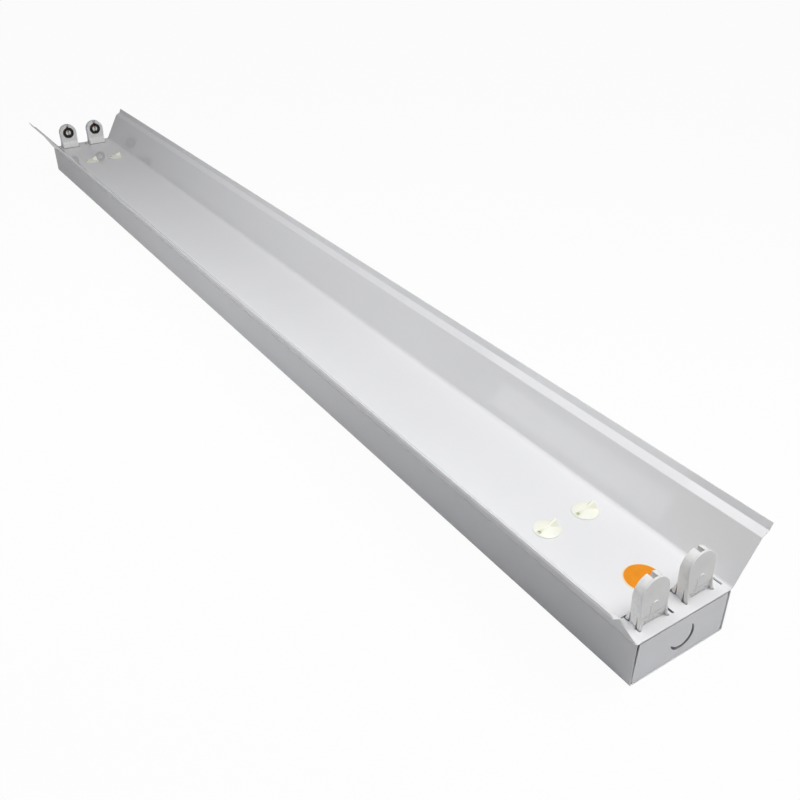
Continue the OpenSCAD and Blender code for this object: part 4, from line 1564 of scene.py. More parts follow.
    def below_body(self) -> Shell:
        """What is taken off the foot of the cover's plate before its drawn-in middle is added."""
        low = (0, -self.width, -OVERRUN)
        return block(low, (2 * self.depth, self.width, self.flap_h - self.middle_root[0]))

    def hollow_cut(self) -> Shell:
        """The hollow between the fingers, cut from the face down to its drawn-in middle.

        Returns:
            The shell.
        """
        z = np.linspace(self.flap_h - OVERRUN, self.finger_h, 12)
        half, face, out = self.finger_line(z)[1], self.middle_x(z), self.depth + 2 * OVERRUN
        return bar([(face, -half), (face, half), (out, half), (out, -half)], z)

    def middle(self) -> Shell:
        """The cover's middle between the fingers, a slab that leans in towards the plate.

        Returns:
            The shell.
        """
        lift, root = self.middle_root
        z = np.linspace(lift, self.flap_h + root, 16)
        half = self.base_w / 2 - self.cover_side
        outer, inner = self.middle_x(z), self.middle_x(z) - self.cover_t
        return bar([(inner, -half), (inner, half), (outer, half), (outer, -half)], z)

    def finger(self, side: int) -> Shell:
        """A corner finger: sections at each height, from the slit's edge to the flared back, rounded.

        Args:
            side: -1 for the left one, 1 for the right one.

        Returns:
            The finger.
        """
        under = self.flap_h - self.finger_gap
        z = np.concatenate([[self.finger_foot], np.linspace(0, under, 12),
                            np.linspace(under + self.seam_gap, self.finger_h, 6)])
        share = np.clip(1 - z / self.finger_h, 0, 1.0)
        edge = self.neck_back + self.back_slit_w
        edge = edge + (self.neck_lean + self.finger_gap - self.back_slit_w) * z / under
        front = np.where(z <= under, edge, self.cover_x(z) - self.cover_t)
        sink = self.finger_sink * (1 - share)
        back = self.cover_x(z) + self.finger_back * share - sink
        outer, inner = self.finger_line(z)
        outer = outer - sink
        r = self.cover_r
        corner_x = (back - r)[:, None] + r * np.sin(QUARTER)
        corner_y = (outer - r)[:, None] + r * np.cos(QUARTER)
        xs = np.concatenate([front[:, None], corner_x, back[:, None], front[:, None]], axis=1)
        ys = np.concatenate([outer[:, None], corner_y, inner[:, None], inner[:, None]], axis=1)
        return skin(np.stack([xs, side * ys, np.broadcast_to(z[:, None], xs.shape)], axis=-1))

    def groove(self, y: Pair, span: Pair, depth: float) -> Shell:
        """A groove in the cover's leaning face.

        Args:
            y: its two sides on Y.
            span: its lowest and highest place on Z.
            depth: how deep it is cut.

        Returns:
            The shell to cut with.
        """
        z = np.linspace(*span, 8)
        face = self.middle_x(z)
        return bar([(face - depth, y[0]), (face - depth, y[1]), (face + OVERRUN, y[1]),
                    (face + OVERRUN, y[0])], z)

    def cover_marks(self) -> list[Shell]:
        """What is cut into the cover's face: seam, two ledge lines, release holes and a row of ticks.

        Returns:
            The shells.
        """
        half = self.base_w / 2 - self.mark_side
        marks = [self.groove(self.seam_y, run, self.mark_depth) for run in self.seam_runs]
        marks.append(self.groove((-half, half), self.ledge_z, self.mark_depth))
        for sides in ((-half, self.line_break[0]), (self.line_break[1], half)):
            marks.append(self.groove(sides, self.line_z, self.line_depth))
        for y, top in self.tick_tops:
            sides = (y - self.tick_half, y + self.tick_half)
            marks.append(self.groove(sides, (self.tick_foot, top), self.tick_depth))
        start, stop = self.depth - 4 * OVERRUN, self.depth + 2 * OVERRUN
        return marks + [rod(self.release_r, start, stop, Axis.X, 20).moved(0, y, self.release_z)
                        for y in self.release_y]

    def nib(self) -> Shell:
        """The raised nib: a ridge along an arc over the release point, thinning out to its ends.

        Returns:
            The shell.
        """
        t = np.radians(np.linspace(5, 175, 25))
        y, z = self.nib_arc[0] * np.cos(t), self.nib_z + self.nib_arc[1] * np.sin(t)
        path = np.stack([self.cover_x(z) + self.nib_over, y, z], axis=-1)
        return tube(path, self.nib_r[0] + self.nib_r[1] * np.sin(t) ** self.nib_curve, 12)

    def rotor(self) -> Piece:
        """The black ring, with a shallow groove round its face and the slot for the pins.

        Returns:
            The piece.
        """
        inner, outer = self.hub_d / 2 + self.hub_fit, self.recess_d / 2 - self.rotor_fit
        low, high, r = self.rotor_front, self.rotor_back, self.rotor_r
        middle, cut = (inner + outer) / 2, r * self.rotor_corner_share
        wide, deep = self.rotor_groove
        section = np.array([
            (inner, low + r), (inner + cut, low + cut), (inner + r, low), (middle - wide, low),
            (middle - deep, low + deep), (middle + deep, low + deep), (middle + wide, low), (outer - r, low),
            (outer - cut, low + cut), (outer, low + r), (outer, high), (inner, high), (inner, low + r)])
        piece = lathe(section, Axis.X, 80).moved(0, 0, self.axis_h).piece("rotor_pattern")
        slot = block((-OVERRUN, -self.rotor_slot_w / 2, self.axis_h - self.recess_d),
                     (self.rotor_back - self.rotor_web, self.rotor_slot_w / 2, self.axis_h + self.recess_d))
        return combine(piece, [slot], Cut.REMOVE)

    def contacts(self) -> Piece:
        """The two bronze springs: a bowed leaf behind the recess, a tail to the foot and a lifted tip.

        Returns:
            The piece.
        """
        front, t = self.pocket_front + self.leaf_gap, self.leaf_t
        rise = np.linspace(*self.leaf_rise, 24)
        near, far = np.where(rise[:, None] > self.leaf_foot, [self.leaf_y], [self.tail_y]).T
        x = front + self.leaf_bow * (1 + np.sin(np.linspace(0, 3 * math.pi, len(rise))))
        shells = [bar([(x, side * near), (x, side * far), (x + t, side * far), (x + t, side * near)],
                      self.axis_h + rise) for side in (-1, 1)]
        tip = np.array(self.tip_line) + np.array([0, self.axis_h])
        shells += [skin(along(tip, np.sort(side * np.array(self.tip_y)), Axis.Y)) for side in (-1, 1)]
        return joined(*shells).piece("contact_pattern", 25.0)

    def build(self, looks: "Looks") -> None:
        """Makes one lampholder's pieces and puts a copy of each in the four corners.

        Args:
            looks: the finishes.
        """
        for make, name, slot, look, node, body in (
                (self.body, "lampholder_shell", "holder_shell", looks.shell_plastic, "holder_body", None),
                (self.cover, "lampholder_cover", "holder_cover", looks.cover_plastic, "holder_cover", None),
                (self.rotor, "lampholder_rotor", "rotor_black", looks.rotor_plastic, "rotor", "rotor"),
                (self.contacts, "contact_springs", "contact_bronze", looks.bronze, "contacts", None)):
            pattern = make()
            for place in PLACES:
                piece = copy_at(pattern, f"{name}_{place.name}", self.plan.holder_matrix(place))
                carrier = f"{body}_{place.name}" if body else "reflector_tray"
                fit(piece, carrier, slot, look, f"{node}_{place.name}")
                even_shading(piece)
            discard(pattern)


@dataclass(frozen=True)
class TurnKnob:
    """One turn knob, drawn on z = 0 with its finger fin towards +Y."""

    plan: Plan
    diameter: float = 20.0
    crown: float = 2.6
    dome_r: float = 26.0
    rib_w: float = 2.4
    rib_over: float = 0.6
    fin_top: float = 6.4
    fin_start: float = 0.2
    fin_end: float = 7.6
    fin_half: float = 1.0
    fin_slope: float = 1.5
    scoop_depth: float = 1.2
    scoop_half: float = 1.5
    pocket: Pair = (-8.2, -6.6)
    pocket_half: float = 1.0
    lift: float = 0.03
    shank_d: float = 6.0
    shank_l: float = 13.0
    shank_tip: float = 2.0
    split_w: float = 1.0
    split_l: float = 8.0
    rim: float = 0.45
    foot_h: float = 0.12
    head_low: float = 0.5
    rib_soft: Pair = (0.3, 0.4)
    rib_ends: Pair = (8.6, 7.2)
    fin_over: float = 0.2
    fin_curve: float = 1.15
    fin_fall: float = 7.0
    fin_foot: float = 0.5
    fin_sunk: float = -9.0
    blend: float = 0.35
    scoop_run: Pair = (-2.0, -7.8)
    scoop_end: Pair = (-9.0, -8.3)
    scoop_soft: Pair = (0.7, 0.9)
    pocket_foot: float = 0.4
    # Reach of the painted shade round the pocket, and of its fainter trail towards the middle
    shade_reach: Pair = (1.5, 1.3)
    trail_share: float = 0.25
    trail_w: float = 1.6
    trail_run: Pair = (-8.0, -2.0)
    trail_soft: Pair = (1.5, 3.0)
    tip_steps: Triple = (1.2, 1.0, 0.2)
    shank_top: float = 0.3
    washer_fit: float = 0.1
    washer_r: float = 6.0
    washer_t: float = 0.79
    washer_edge_r: float = 0.15

    @staticmethod
    def soft(low: float, high: float, v: Array) -> Array:
        """A smooth step from 0 at low to 1 at high: t^2 (3 - 2 t)."""
        t = np.clip((v - low) / (high - low), 0, 1)
        return t * t * (3 - 2 * t)

    def height(self, x: Array, y: Array) -> Array:
        """Height of the head over (x, y).

        The dome is crown - R + sqrt(R^2 - x^2 - y^2). The rib adds a soft-sided ridge along y. The fin
        is ridge(y) - slope * max(0, |x| - half). Where the dome with its rib and the fin meet, the
        higher of them is blended. The scoop is a soft-sided hollow that deepens towards -y.

        Args:
            x: the places along X.
            y: the places along Y.

        Returns:
            The heights.
        """
        dome = self.crown - self.dome_r + np.sqrt(self.dome_r**2 - x**2 - y**2)
        past, within = self.rib_soft
        rib = self.rib_over * self.soft(self.rib_w / 2 + past, self.rib_w / 2 - within, np.abs(x))
        body = dome + rib * self.soft(*self.rib_ends, np.abs(y))
        ramp = np.clip((y - self.fin_start) / (self.fin_end - self.fin_start), 0, 1)
        foot = self.crown + self.fin_over
        ridge = foot + (self.fin_top - foot) * ramp**self.fin_curve
        ridge = ridge - self.fin_fall * np.clip(y - self.fin_end, 0, None)
        fin = ridge - self.fin_slope * np.clip(np.abs(x) - self.fin_half, 0, None)
        fin = np.where(y > self.fin_start - self.fin_foot, fin, self.fin_sunk)
        apart, blend = body - fin, self.blend
        top = 0.5 * (body + fin + np.sqrt(apart**2 + blend**2)) - 0.5 * blend * np.exp(-(apart**2) / blend**2)
        past, within = self.scoop_soft
        deep = self.soft(*self.scoop_run, y) * self.soft(*self.scoop_end, y)
        deep = deep * self.soft(self.scoop_half + past, self.scoop_half - within, np.abs(x))
        return np.maximum(top - self.scoop_depth * deep, np.minimum(self.head_low, dome))

    def head(self) -> Shell:
        """The head as a polar height field, with a rounded rim and a flat underside.

        Returns:
            The shell.
        """
        around, rim, r = 168, self.rim, self.diameter / 2
        ring = circle(1.0, around)
        radii = np.linspace(self.foot_h, r - rim, 46)
        flat = ring[None] * radii[:, None, None]
        z = self.height(flat[..., 0], flat[..., 1])
        turn = QUARTER[1:]
        side = r - rim + rim * np.sin(turn)
        fall = z[-1][None] - rim * (1 - np.cos(turn))[:, None]
        under = np.full((2, around), self.lift) + np.array([[self.foot_h], [0.0]])
        reach = np.concatenate([radii, side, [r, r - self.foot_h]])[:, None]
        return skin(polar(np.tile(reach, around), np.concatenate([z, fall, under]), Axis.Z), Cap.POLE)

    def knob(self) -> Piece:
        """The knob: its head, fused with the split shank that snaps through the plate.

        Returns:
            The piece.
        """
        r, foot, (deep, edge, rise) = self.shank_d / 2, -self.shank_l, self.tip_steps
        profile = [(0.0, foot), (r - deep, foot), (r - edge, foot + rise), (r, foot + self.shank_tip),
                   (r, self.shank_top), (0.0, self.shank_top)]
        piece = self.head().piece("knob_pattern", 40.0)
        combine(piece, [lathe(np.array(profile), Axis.Z, 40)], Cut.FUSE, 40.0)
        low, high = self.pocket
        pocket = block((-self.pocket_half, low, self.pocket_foot),
                       (self.pocket_half, high, self.crown + OVERRUN))
        combine(piece, [pocket], Cut.REMOVE, 40.0)
        # Paints shade into the scoop, as the mesh's shade attribute
        self.paint_scoop_shade(piece)
        split = block((-self.split_w / 2, -self.shank_d, foot - OVERRUN),
                      (self.split_w / 2, self.shank_d, foot + self.split_l))
        return combine(piece, [split], Cut.REMOVE, 40.0)

    def paint_scoop_shade(self, piece: Piece) -> None:
        """Notes the painted shade of the scoop: a spot round the pocket with a trail towards the middle.

        Args:
            piece: the piece.
        """
        x, y, z = corners_of(piece.data).T / MM
        wide, long = self.shade_reach
        spot = np.exp(-((x / wide) ** 2) - ((y - sum(self.pocket) / 2) / long) ** 2)
        (start, stop), (rise, fade) = self.trail_run, self.trail_soft
        trail = self.trail_share * np.exp(-((x / self.trail_w) ** 2))
        trail = trail * np.clip((y - start) / rise, 0, 1) * np.clip((stop - y) / fade, 0, 1)
        shade = np.where(z > 0, np.clip(spot + trail, 0, 1), 0.0)
        note(piece, "shade", shade)

    def retainers(self) -> Piece:
        """The four washers that hold the knobs under the plate.

        Returns:
            The piece.
        """
        top = self.plan.plate_under - PLAY
        profile = ring_profile(self.shank_d / 2 + self.washer_fit, self.washer_r, top - self.washer_t, top,
                               self.washer_edge_r)
        washer = lathe(profile, Axis.Z)
        return joined(*[washer.moved(*self.plan.knob_spot(p), 0) for p in PLACES]).piece("knob_washers")

    def build(self, looks: "Looks") -> None:
        """Makes the knob, puts a copy in each corner, and adds the retainers.

        Args:
            looks: the finishes.
        """
        pattern = self.knob()
        for place in PLACES:
            piece = copy_at(pattern, f"turn_knob_{place.name}", self.plan.knob_matrix(place))
            fit(piece, f"knob_{place.name}", "knob_cream", looks.knob_plastic, f"knob_{place.name}")
        discard(pattern)
        fit(self.retainers(), "reflector_tray", "zinc_washer", looks.zinc, "knob_retainers")


@dataclass(frozen=True)
class Label:
    """The plain round label on the plate."""

    plan: Plan
    diameter: float = 26.8
    inset_x: float = 21.9
    y: float = 3.3
    thickness: float = 0.2
    border: float = 0.9
    lift: float = 0.02
    rim: Pair = (0.03, 0.05)
    edge_h: float = 0.06

    @property
    def middle(self) -> Triple:
        """The label's middle."""
        return (self.plan.lamp_gap / 2 - self.inset_x, self.y, self.plan.plate_top)

    def build(self, looks: "Looks") -> None:
        """Makes and dresses the label.

        Args:
            looks: the finishes.
        """
        r, thick, (under, over), edge = self.diameter / 2, self.thickness, self.rim, self.edge_h
        profile = [(0.0, self.lift), (r - under, self.lift), (r, edge), (r, thick - edge), (r - over, thick),
                   (0.0, thick)]
        piece = lathe(np.array(profile), Axis.Z, 96).moved(*self.middle).piece("round_label_film")
        fit(piece, "reflector_tray", "label_orange", looks.label_film, "round_label")


@dataclass(frozen=True)
class Wiring:
    """Terminal block, wires, clips and earth stud under the tray."""

    plan: Plan
    block_x: float = 140.0
    block_size: Triple = (36.0, 26.0, 14.0)
    pole_pitch: float = 8.0
    entry_pitch: float = 4.0
    entry_up: float = 4.6
    entry_d: float = 3.0
    entry_depth: float = 7.0
    screw_d: float = 3.8
    screw_t: float = 2.4
    screw_inset: float = 8.0
    wire_d: float = 2.4
    wire_pitch: float = 6.0
    wire_z: float = 33.7
    wire_up: float = 4.8
    tail_y: float = 4.0
    tip_gap: float = 0.3
    bend: float = 5.0
    turn_out: float = 10.0
    turn_slope: float = 20.0
    holder_lead: float = 12.0
    holder_spread: float = 22.0
    clip_places: tuple[float, ...] = (210.0, 310.0, 410.0)
    clip_l: float = 8.0
    clip_side: float = 3.0
    clip_floor: float = 1.0
    stud_place: Pair = (26.0, 14.0)
    lug_t: float = 0.8
    block_r: float = 1.2
    block_edge_r: float = 0.5
    groove_half: float = 0.4
    groove_depth: float = 1.2
    screw_fit: float = 0.05
    screw_dome_shares: Pair = (0.6, 0.92)
    screw_dome_h: Pair = (0.06, 0.3)
    screw_slot: Pair = (0.4, 0.8)
    screw_turn: float = 23.0
    clip_r: float = 1.0
    clip_edge_r: float = 0.35
    clip_fit: float = 0.15
    holder_reach: float = 4.4
    barrel: Pair = (5.5, 13.5)
    barrel_r: Pair = (1.25, 1.88)
    barrel_edge_r: float = 0.15
    barrel_drop: float = 1.9
    eye_r: Pair = (2.05, 4.0)
    eye_edge_r: float = 0.12
    tongue: Triple = (3.6, 3.4, 0.3)
    tongue_edge_r: float = 0.1
    tongue_x: float = 5.4

    def into_block(self, face: int, pole: int, entry: int, out: float) -> list[float]:
        """A point on the middle line of a block entry, so far out of the block's face.

        Args:
            face: 1 for the block's near face, or -1.
            pole: -1, 0 or 1, the block's pole.
            entry: -1 or 1, the pole's entry.
            out: how far out of the face, mm.

        Returns:
            The x, y and z in mm.
        """
        length, _, height = self.block_size
        return [self.block_x + face * (length / 2 + out),
                pole * self.pole_pitch + entry * self.entry_pitch / 2,
                self.plan.plate_under - height + self.entry_up]

    def into_holder(self, end: int, side: int, x: float, y: float, z: float) -> list[float]:
        """A point drawn in a lampholder's own place."""
        return [end * (self.plan.lamp_gap / 2 + x), side * self.plan.lamp_pitch / 2 + end * y,
                self.plan.plate_top + z]

    def lamp_wire(self, end: int, side: int, pole: int) -> Shell:
        """A wire out of the block, along the plate through the clips, into a lampholder's foot.

        Args:
            end: 1 for the near end, or -1.
            side: 1 for the right side, or -1.
            pole: -1, 0 or 1, the block's pole.

        Returns:
            The shell.
        """
        reach = self.plan.lamp_gap / 2 - self.holder_lead - self.holder_spread
        corners = np.array([
            self.into_block(end, pole, side, self.tip_gap - self.entry_depth),
            self.into_block(end, pole, side, self.turn_out),
            [self.block_x + end * (self.block_size[0] / 2 + self.turn_out + self.turn_slope),
             side * self.wire_pitch / 2, self.wire_z],
            [end * reach, side * self.wire_pitch / 2, self.wire_z],
            self.into_holder(end, side, -self.holder_lead, self.tail_y, -self.wire_up),
            self.into_holder(end, side, self.holder_reach - self.tip_gap, self.tail_y, -self.wire_up)])
        return tube(smooth_path(corners, self.bend), self.wire_d / 2)

    def striped(self, piece: Piece, count: int = 16, wide: int = 5) -> Piece:
        """Marks some of the sides of a tube's points with a stripe, as the mesh's own attribute."""
        note(piece, "stripe", np.arange(len(piece.data.vertices)) % count < wide)
        return piece

    def block(self) -> Piece:
        """The terminal block: rounded, with wire entries, screw wells and a groove between the poles.

        Returns:
            The piece.
        """
        length, width, height = self.block_size
        low, top = self.plan.plate_under - height, self.plan.plate_under - PLAY
        body = prism(oblong(length, width, self.block_r), low, top, self.block_edge_r, Axis.Z)
        piece = body.moved(self.block_x, 0, 0).piece("connector_block")
        well = rod(self.screw_d / 2 + self.screw_fit, low - OVERRUN, low + self.screw_t, Axis.Z, 32)
        cuts = []
        for pole in (-1, 0, 1):
            for face in (1, -1):
                for entry in (-1, 1):
                    x, y, z = self.into_block(face, pole, entry, 0.0)
                    ends = sorted((x - face * self.entry_depth, x + face * OVERRUN))
                    cuts.append(rod(self.entry_d / 2, *ends, Axis.X, 24).moved(0, y, z))
                cuts.append(well.moved(self.screw_x(face), pole * self.pole_pitch, 0))
        start, stop = self.block_x - length / 2 - OVERRUN, self.block_x + length / 2 + OVERRUN
        for y in (-self.pole_pitch / 2, self.pole_pitch / 2):
            cuts.append(block((start, y - self.groove_half, low - OVERRUN),
                              (stop, y + self.groove_half, low + self.groove_depth)))
        return combine(piece, cuts, Cut.REMOVE)

    def screw_x(self, face: int) -> float:
        """The place of a face's screws on X."""
        return self.block_x + face * (self.block_size[0] / 2 - self.screw_inset)

    def screws(self) -> Piece:
        """The six clamping screws, domed and slotted, each turned a little further than the last.

        Returns:
            The piece.
        """
        r, t = self.screw_d / 2, self.screw_t
        (dome, rim), (rise, edge) = self.screw_dome_shares, self.screw_dome_h
        profile = [(0.0, 0.0), (r * dome, rise), (r * rim, edge), (r, 2 * edge), (r, t), (0.0, t)]
        low = self.plan.plate_under - self.block_size[2]
        half, deep = self.screw_slot
        shells, slots = [], []
        for i, (pole, face) in enumerate((p, f) for p in (-1, 0, 1) for f in (1, -1)):
            spot = (self.screw_x(face), pole * self.pole_pitch, low)
            shells.append(lathe(np.array(profile), Axis.Z, 32).moved(*spot))
            slot = block((-r - OVERRUN, -half, -OVERRUN), (r + OVERRUN, half, deep))
            slots.append(slot.turned("Z", self.screw_turn * i).moved(*spot))
        return combine(joined(*shells).piece("clamp_screws"), slots, Cut.REMOVE)

    def clips(self) -> Piece:
        """The saddles under the plate that the wires run through.

        Returns:
            The piece.
        """
        span = self.wire_pitch + self.wire_d + 2 * self.clip_side
        low, top = self.wire_z - self.wire_d / 2 - self.clip_floor, self.plan.plate_under - PLAY
        saddle = prism(oblong(self.clip_l, span, self.clip_r), low, top, self.clip_edge_r, Axis.Z)
        reach = self.clip_l / 2 + 2 * OVERRUN
        shells, cuts = [], []
        for x in [sign * place for sign in (1, -1) for place in self.clip_places]:
            shells.append(saddle.moved(x, 0, 0))
            cuts += [rod(self.wire_d / 2 + self.clip_fit, x - reach, x + reach, Axis.X, 24)
                     .moved(0, s * self.wire_pitch / 2, self.wire_z) for s in (-1, 1)]
        return combine(joined(*shells).piece("wire_saddles"), cuts, Cut.REMOVE)

    def earth(self) -> tuple[Shell, Shell]:
        """The earth wire and its crimped lug.

        Returns:
            The wire and its lug.
        """
        x, y = self.stud_place
        top, z = self.plan.plate_under - PLAY, self.plan.plate_under - self.barrel_drop
        start, stop = self.barrel
        end = x + (start + stop) / 2
        corners = np.array([
            self.into_block(-1, 1, 1, self.tip_gap - self.entry_depth),
            self.into_block(-1, 1, 1, self.turn_out), [x + stop + self.turn_slope, y, z], [end, y, z]])
        wire = tube(smooth_path(corners, self.bend), self.wire_d / 2)
        low = top - self.lug_t
        eye = lathe(ring_profile(*self.eye_r, low, top, self.eye_edge_r), Axis.Z).moved(x, y, 0)
        tongue = prism(oblong(*self.tongue), low, top, self.tongue_edge_r, Axis.Z)
        barrel = lathe(ring_profile(*self.barrel_r, start, stop, self.barrel_edge_r), Axis.X)
        return wire, joined(eye, tongue.moved(x + self.tongue_x, y, 0), barrel.moved(x, y, z))

    def build(self, looks: "Looks") -> None:
        """Makes and dresses the wiring.

        Args:
            looks: the finishes.
        """
        tray = "reflector_tray"
        fit(self.block(), tray, "block_plastic", looks.block_plastic, "terminal_block")
        fit(self.screws(), tray, "screw_brass", looks.screw_brass, "terminal_screws")
        fit(self.clips(), tray, "clip_nylon", looks.clip_plastic, "wire_clips")
        live = joined(*[self.lamp_wire(1, s, -1) for s in (-1, 1)]).piece("brown_wires")
        fit(live, tray, "wire_brown", looks.brown, "live_wires")
        neutral = joined(*[self.lamp_wire(-1, s, 0) for s in (-1, 1)]).piece("blue_wires")
        fit(neutral, tray, "wire_blue", looks.blue, "neutral_wires")
        wire, lug = self.earth()
        striped = self.striped(wire.piece("green_yellow_wire"))
        fit(striped, tray, "wire_green_yellow", looks.green_yellow, "earth_wire")
        fit(lug.piece("earth_lug"), tray, "zinc_washer", looks.zinc, "earth_wire")
        stud = EarthStud().shell(self.lug_t)
        upside_down = Shell(stud.points * np.array([1.0, 1.0, -1.0]), stud.faces)
        piece = upside_down.moved(*self.stud_place, self.plan.plate_under - PLAY).piece("tray_stud", 25.0)
        fit(piece, tray, "earth_brass", looks.stud_brass, "tray_earth_stud")


# Finishes of the real pieces


@dataclass
class Looks:
    """The materials of the fixture."""

    label: Label
    housing_coat: bpy.types.Material = field(init=False)
    tray_coat: bpy.types.Material = field(init=False)

    def __post_init__(self) -> None:
        """Makes every material once."""
        # The housing's coat is the tray's white powder coat made darker, as painted shade on the housing
        self.housing_coat = PowderCoat("housing_powder_coat", (0.76, 0.765, 0.79), 0.1).material()
        self.tray_coat = PowderCoat("reflector_powder_coat", (0.83, 0.832, 0.845), 0.05).material()
        self.zinc = RolledMetal("zinc_plate", (0.62, 0.64, 0.66), 0.38).material()
        self.stud_brass = RolledMetal("stud_brass", (0.75, 0.60, 0.30), 0.3).material()
        self.screw_brass = RolledMetal("screw_nickelled_brass", (0.72, 0.66, 0.50), 0.28).material()
        self.bronze = RolledMetal("contact_bronze_strip", (0.80, 0.42, 0.24), 0.3).material()
        self.rubber = Rubber("bush_rubber_skin", (0.03, 0.03, 0.032)).material()
        self.shell_plastic = MouldedPlastic(
            "holder_shell_plastic", (0.86, 0.86, 0.85), 0.28, glow=0.15).material()
        # The cover's plastic is the shell's plastic made a little darker, as painted shade on the cover
        self.cover_plastic = MouldedPlastic(
            "holder_cover_plastic", (0.82, 0.815, 0.81), 0.32, glow=0.12).material()
        self.rotor_plastic = MouldedPlastic("rotor_black_plastic", (0.012, 0.013, 0.014), 0.28).material()
        # The knob's shade colour is painted shade in the scoop beside its pocket
        self.knob_plastic = MouldedPlastic(
            "knob_cream_plastic", (0.96, 0.96, 0.83), 0.2, glow=0.4, glow_reach=0.0015,
            layers=(Relief(900.0, 3.0, 0.000002),), shade_colour=(0.45, 0.50, 0.27)).material()
        self.block_plastic = MouldedPlastic(
            "connector_plastic", (0.78, 0.78, 0.75), 0.42, glow=0.1).material()
        self.clip_plastic = MouldedPlastic("saddle_nylon", (0.80, 0.80, 0.77), 0.45, glow=0.2).material()
        self.label_film = PrintedFilm(
            "label_film_orange", (0.84, 0.28, 0.004), border_colour=(0.86, 0.74, 0.50),
            middle=self.label.middle, printed_radius=self.label.diameter / 2 - self.label.border).material()
        self.brown = Insulation("insulation_brown", (0.12, 0.045, 0.018)).material()
        self.blue = Insulation("insulation_blue", (0.02, 0.07, 0.32)).material()
        self.green_yellow = Insulation(
            "insulation_green_yellow", (0.03, 0.22, 0.04), stripe_colour=(0.80, 0.62, 0.03)).material()


# The studio


@dataclass(frozen=True)
class Softbox:
    """A soft lamp: a rectangle that faces its aim, in metres and watts."""

    name: str
    spot: Triple
    aim: Triple
    size: Pair
    power: float

    def build(self) -> Piece:
        """Puts the lamp in the scene.

        Returns:
            The lamp.
        """
        data = bpy.data.lights.new(self.name, "AREA")
        data.shape = "RECTANGLE"
        data.size, data.size_y = self.size
        data.energy = self.power
        lamp = bpy.data.objects.new(self.name, data)
        lamp.location = self.spot
        heading = Vector(self.aim) - Vector(self.spot)
        lamp.rotation_euler = heading.to_track_quat("-Z", "Y").to_euler()
        bpy.context.scene.collection.objects.link(lamp)
        return lamp


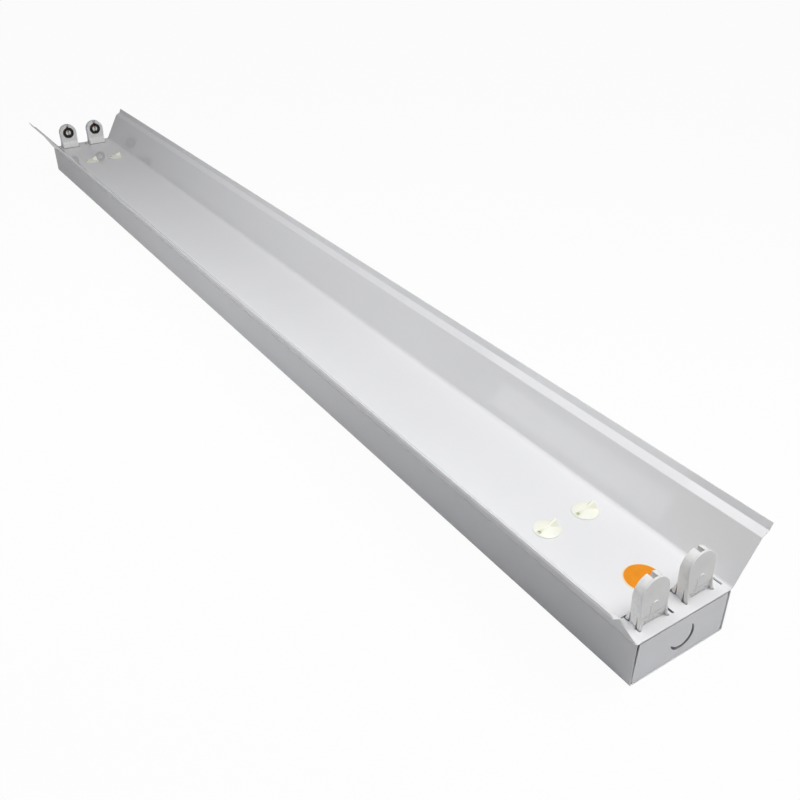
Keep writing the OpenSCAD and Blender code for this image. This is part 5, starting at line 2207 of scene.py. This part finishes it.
@dataclass(frozen=True)
class Studio:
    """Camera, soft lamps, pale floor and white surroundings."""

    lens: float = 40.877
    spot: Triple = (0.86040, -0.37105, 0.45138)
    right: Triple = (0.55287, 0.83324, -0.00647)
    up: Triple = (-0.43929, 0.29805, 0.84746)
    ambient: float = 0.135
    shown_white: float = 0.96
    mirrored_white: float = 0.4
    world_tint: Colour = (0.97, 0.98, 1.0)
    sensor: float = 36.0
    clip: Pair = (0.01, 50.0)
    floor_half: float = 8.0
    floor_level: float = -0.0004
    floor_shade: float = 0.82
    lamps: tuple[Softbox, ...] = (
        Softbox("overhead_near", (0.75, 0.2, 0.8), (0.5, 0.0, 0.0), (0.5, 0.5), 4.5),
        Softbox("overhead_middle", (0.3, 0.0, 1.1), (0.3, 0.0, 0.0), (0.6, 0.6), 1.55),
        Softbox("overhead_far", (-0.3, 0.0, 1.2), (-0.3, 0.0, 0.0), (0.8, 0.6), 1.35),
        Softbox("left_low", (0.0, -0.35, 0.6), (0.0, -0.35, 0.0), (0.5, 0.4), 1.3),
        Softbox("left_close", (0.0, -0.6, 0.15), (0.0, 0.0, 0.02), (0.4, 0.25), 0.36),
        Softbox("end_fill", (1.9, 0.0, 0.4), (0.6, 0.0, 0.02), (0.7, 0.5), 1.1),
    )

    def camera(self) -> None:
        """The camera at the photograph's viewing angle."""
        data = bpy.data.cameras.new("camera")
        data.lens, data.sensor_width = self.lens, self.sensor
        data.clip_start, data.clip_end = self.clip
        item = bpy.data.objects.new("camera", data)
        right, up = Vector(self.right).normalized(), Vector(self.up).normalized()
        back = right.cross(up)
        item.matrix_world = Matrix.Translation(self.spot) @ Matrix((right, up, back)).transposed().to_4x4()
        bpy.context.scene.collection.objects.link(item)
        bpy.context.scene.camera = item

    def surroundings(self) -> None:
        """A world that shows white to the camera and in reflections, and lights the object evenly."""
        world = bpy.data.worlds.new("studio")
        world.use_nodes = True
        nodes, links = world.node_tree.nodes, world.node_tree.links
        shown = nodes.new("ShaderNodeBackground")
        shown.inputs["Color"].default_value = (1.0, 1.0, 1.0, 1.0)
        light = nodes["Background"]
        light.inputs["Color"].default_value = (*self.world_tint, 1.0)
        light.inputs["Strength"].default_value = self.ambient
        mix = nodes.new("ShaderNodeMixShader")
        links.new(self.seen(nodes, links, 1.0), mix.inputs[0])
        links.new(light.outputs[0], mix.inputs[1])
        links.new(shown.outputs[0], mix.inputs[2])
        links.new(mix.outputs[0], nodes["World Output"].inputs[0])
        bpy.context.scene.world = world

    def seen(self, nodes: bpy.types.Nodes, links: bpy.types.NodeLinks, shown: float) -> Socket:
        """How white the surroundings are by the kind of ray that meets them.

        Args:
            nodes: the nodes of a material or of the world.
            links: their links.
            shown: the share of white that the camera sees.

        Returns:
            The socket: shown for the camera's rays, less in reflections and transmission, 0 elsewhere.
        """
        path = nodes.new("ShaderNodeLightPath")
        total = None
        for name, share in (("Is Camera Ray", shown), ("Is Glossy Ray", self.mirrored_white),
                            ("Is Transmission Ray", self.mirrored_white)):
            part = nodes.new("ShaderNodeMath")
            part.operation = "MULTIPLY_ADD"
            links.new(path.outputs[name], part.inputs[0])
            part.inputs[1].default_value = share
            part.inputs[2].default_value = 0.0
            if total is not None:
                links.new(total, part.inputs[2])
            total = part.outputs[0]
        return total

    def floor(self) -> None:
        """A pale floor that shows white but keeps the object's shadow."""
        material = bpy.data.materials.new("floor")
        material.use_nodes = True
        nodes, links = material.node_tree.nodes, material.node_tree.links
        nodes.clear()
        matte = nodes.new("ShaderNodeBsdfDiffuse")
        matte.inputs["Color"].default_value = (*[self.floor_shade] * 3, 1.0)
        white = nodes.new("ShaderNodeEmission")
        white.inputs["Color"].default_value = (1.0, 1.0, 1.0, 1.0)
        mix = nodes.new("ShaderNodeMixShader")
        links.new(self.seen(nodes, links, self.shown_white), mix.inputs[0])
        links.new(matte.outputs[0], mix.inputs[1])
        links.new(white.outputs[0], mix.inputs[2])
        links.new(mix.outputs[0], nodes.new("ShaderNodeOutputMaterial").inputs[0])
        mesh = bpy.data.meshes.new("floor")
        half, z = self.floor_half, self.floor_level
        mesh.from_pydata([(-half, -half, z), (half, -half, z), (half, half, z), (-half, half, z)], [],
                         [(0, 1, 2, 3)])
        mesh.materials.append(material)
        item = bpy.data.objects.new("floor", mesh)
        bpy.context.scene.collection.objects.link(item)

    def build(self) -> None:
        """Sets up the studio."""
        self.camera()
        self.surroundings()
        self.floor()
        for lamp in self.lamps:
            lamp.build()
        bpy.context.scene.view_settings.view_transform = "Standard"


def main() -> None:
    """Builds the studio and every sub-assembly of the fixture."""
    logging.basicConfig(level=logging.INFO, format="%(name)s: %(message)s")
    plan = Plan()
    label = Label(plan)
    looks = Looks(label)
    Studio().build()
    for part in (Housing(plan), Reflector(plan), Lampholder(plan), TurnKnob(plan), label, Wiring(plan)):
        part.build(looks)


if __name__ == "__main__":
    main()
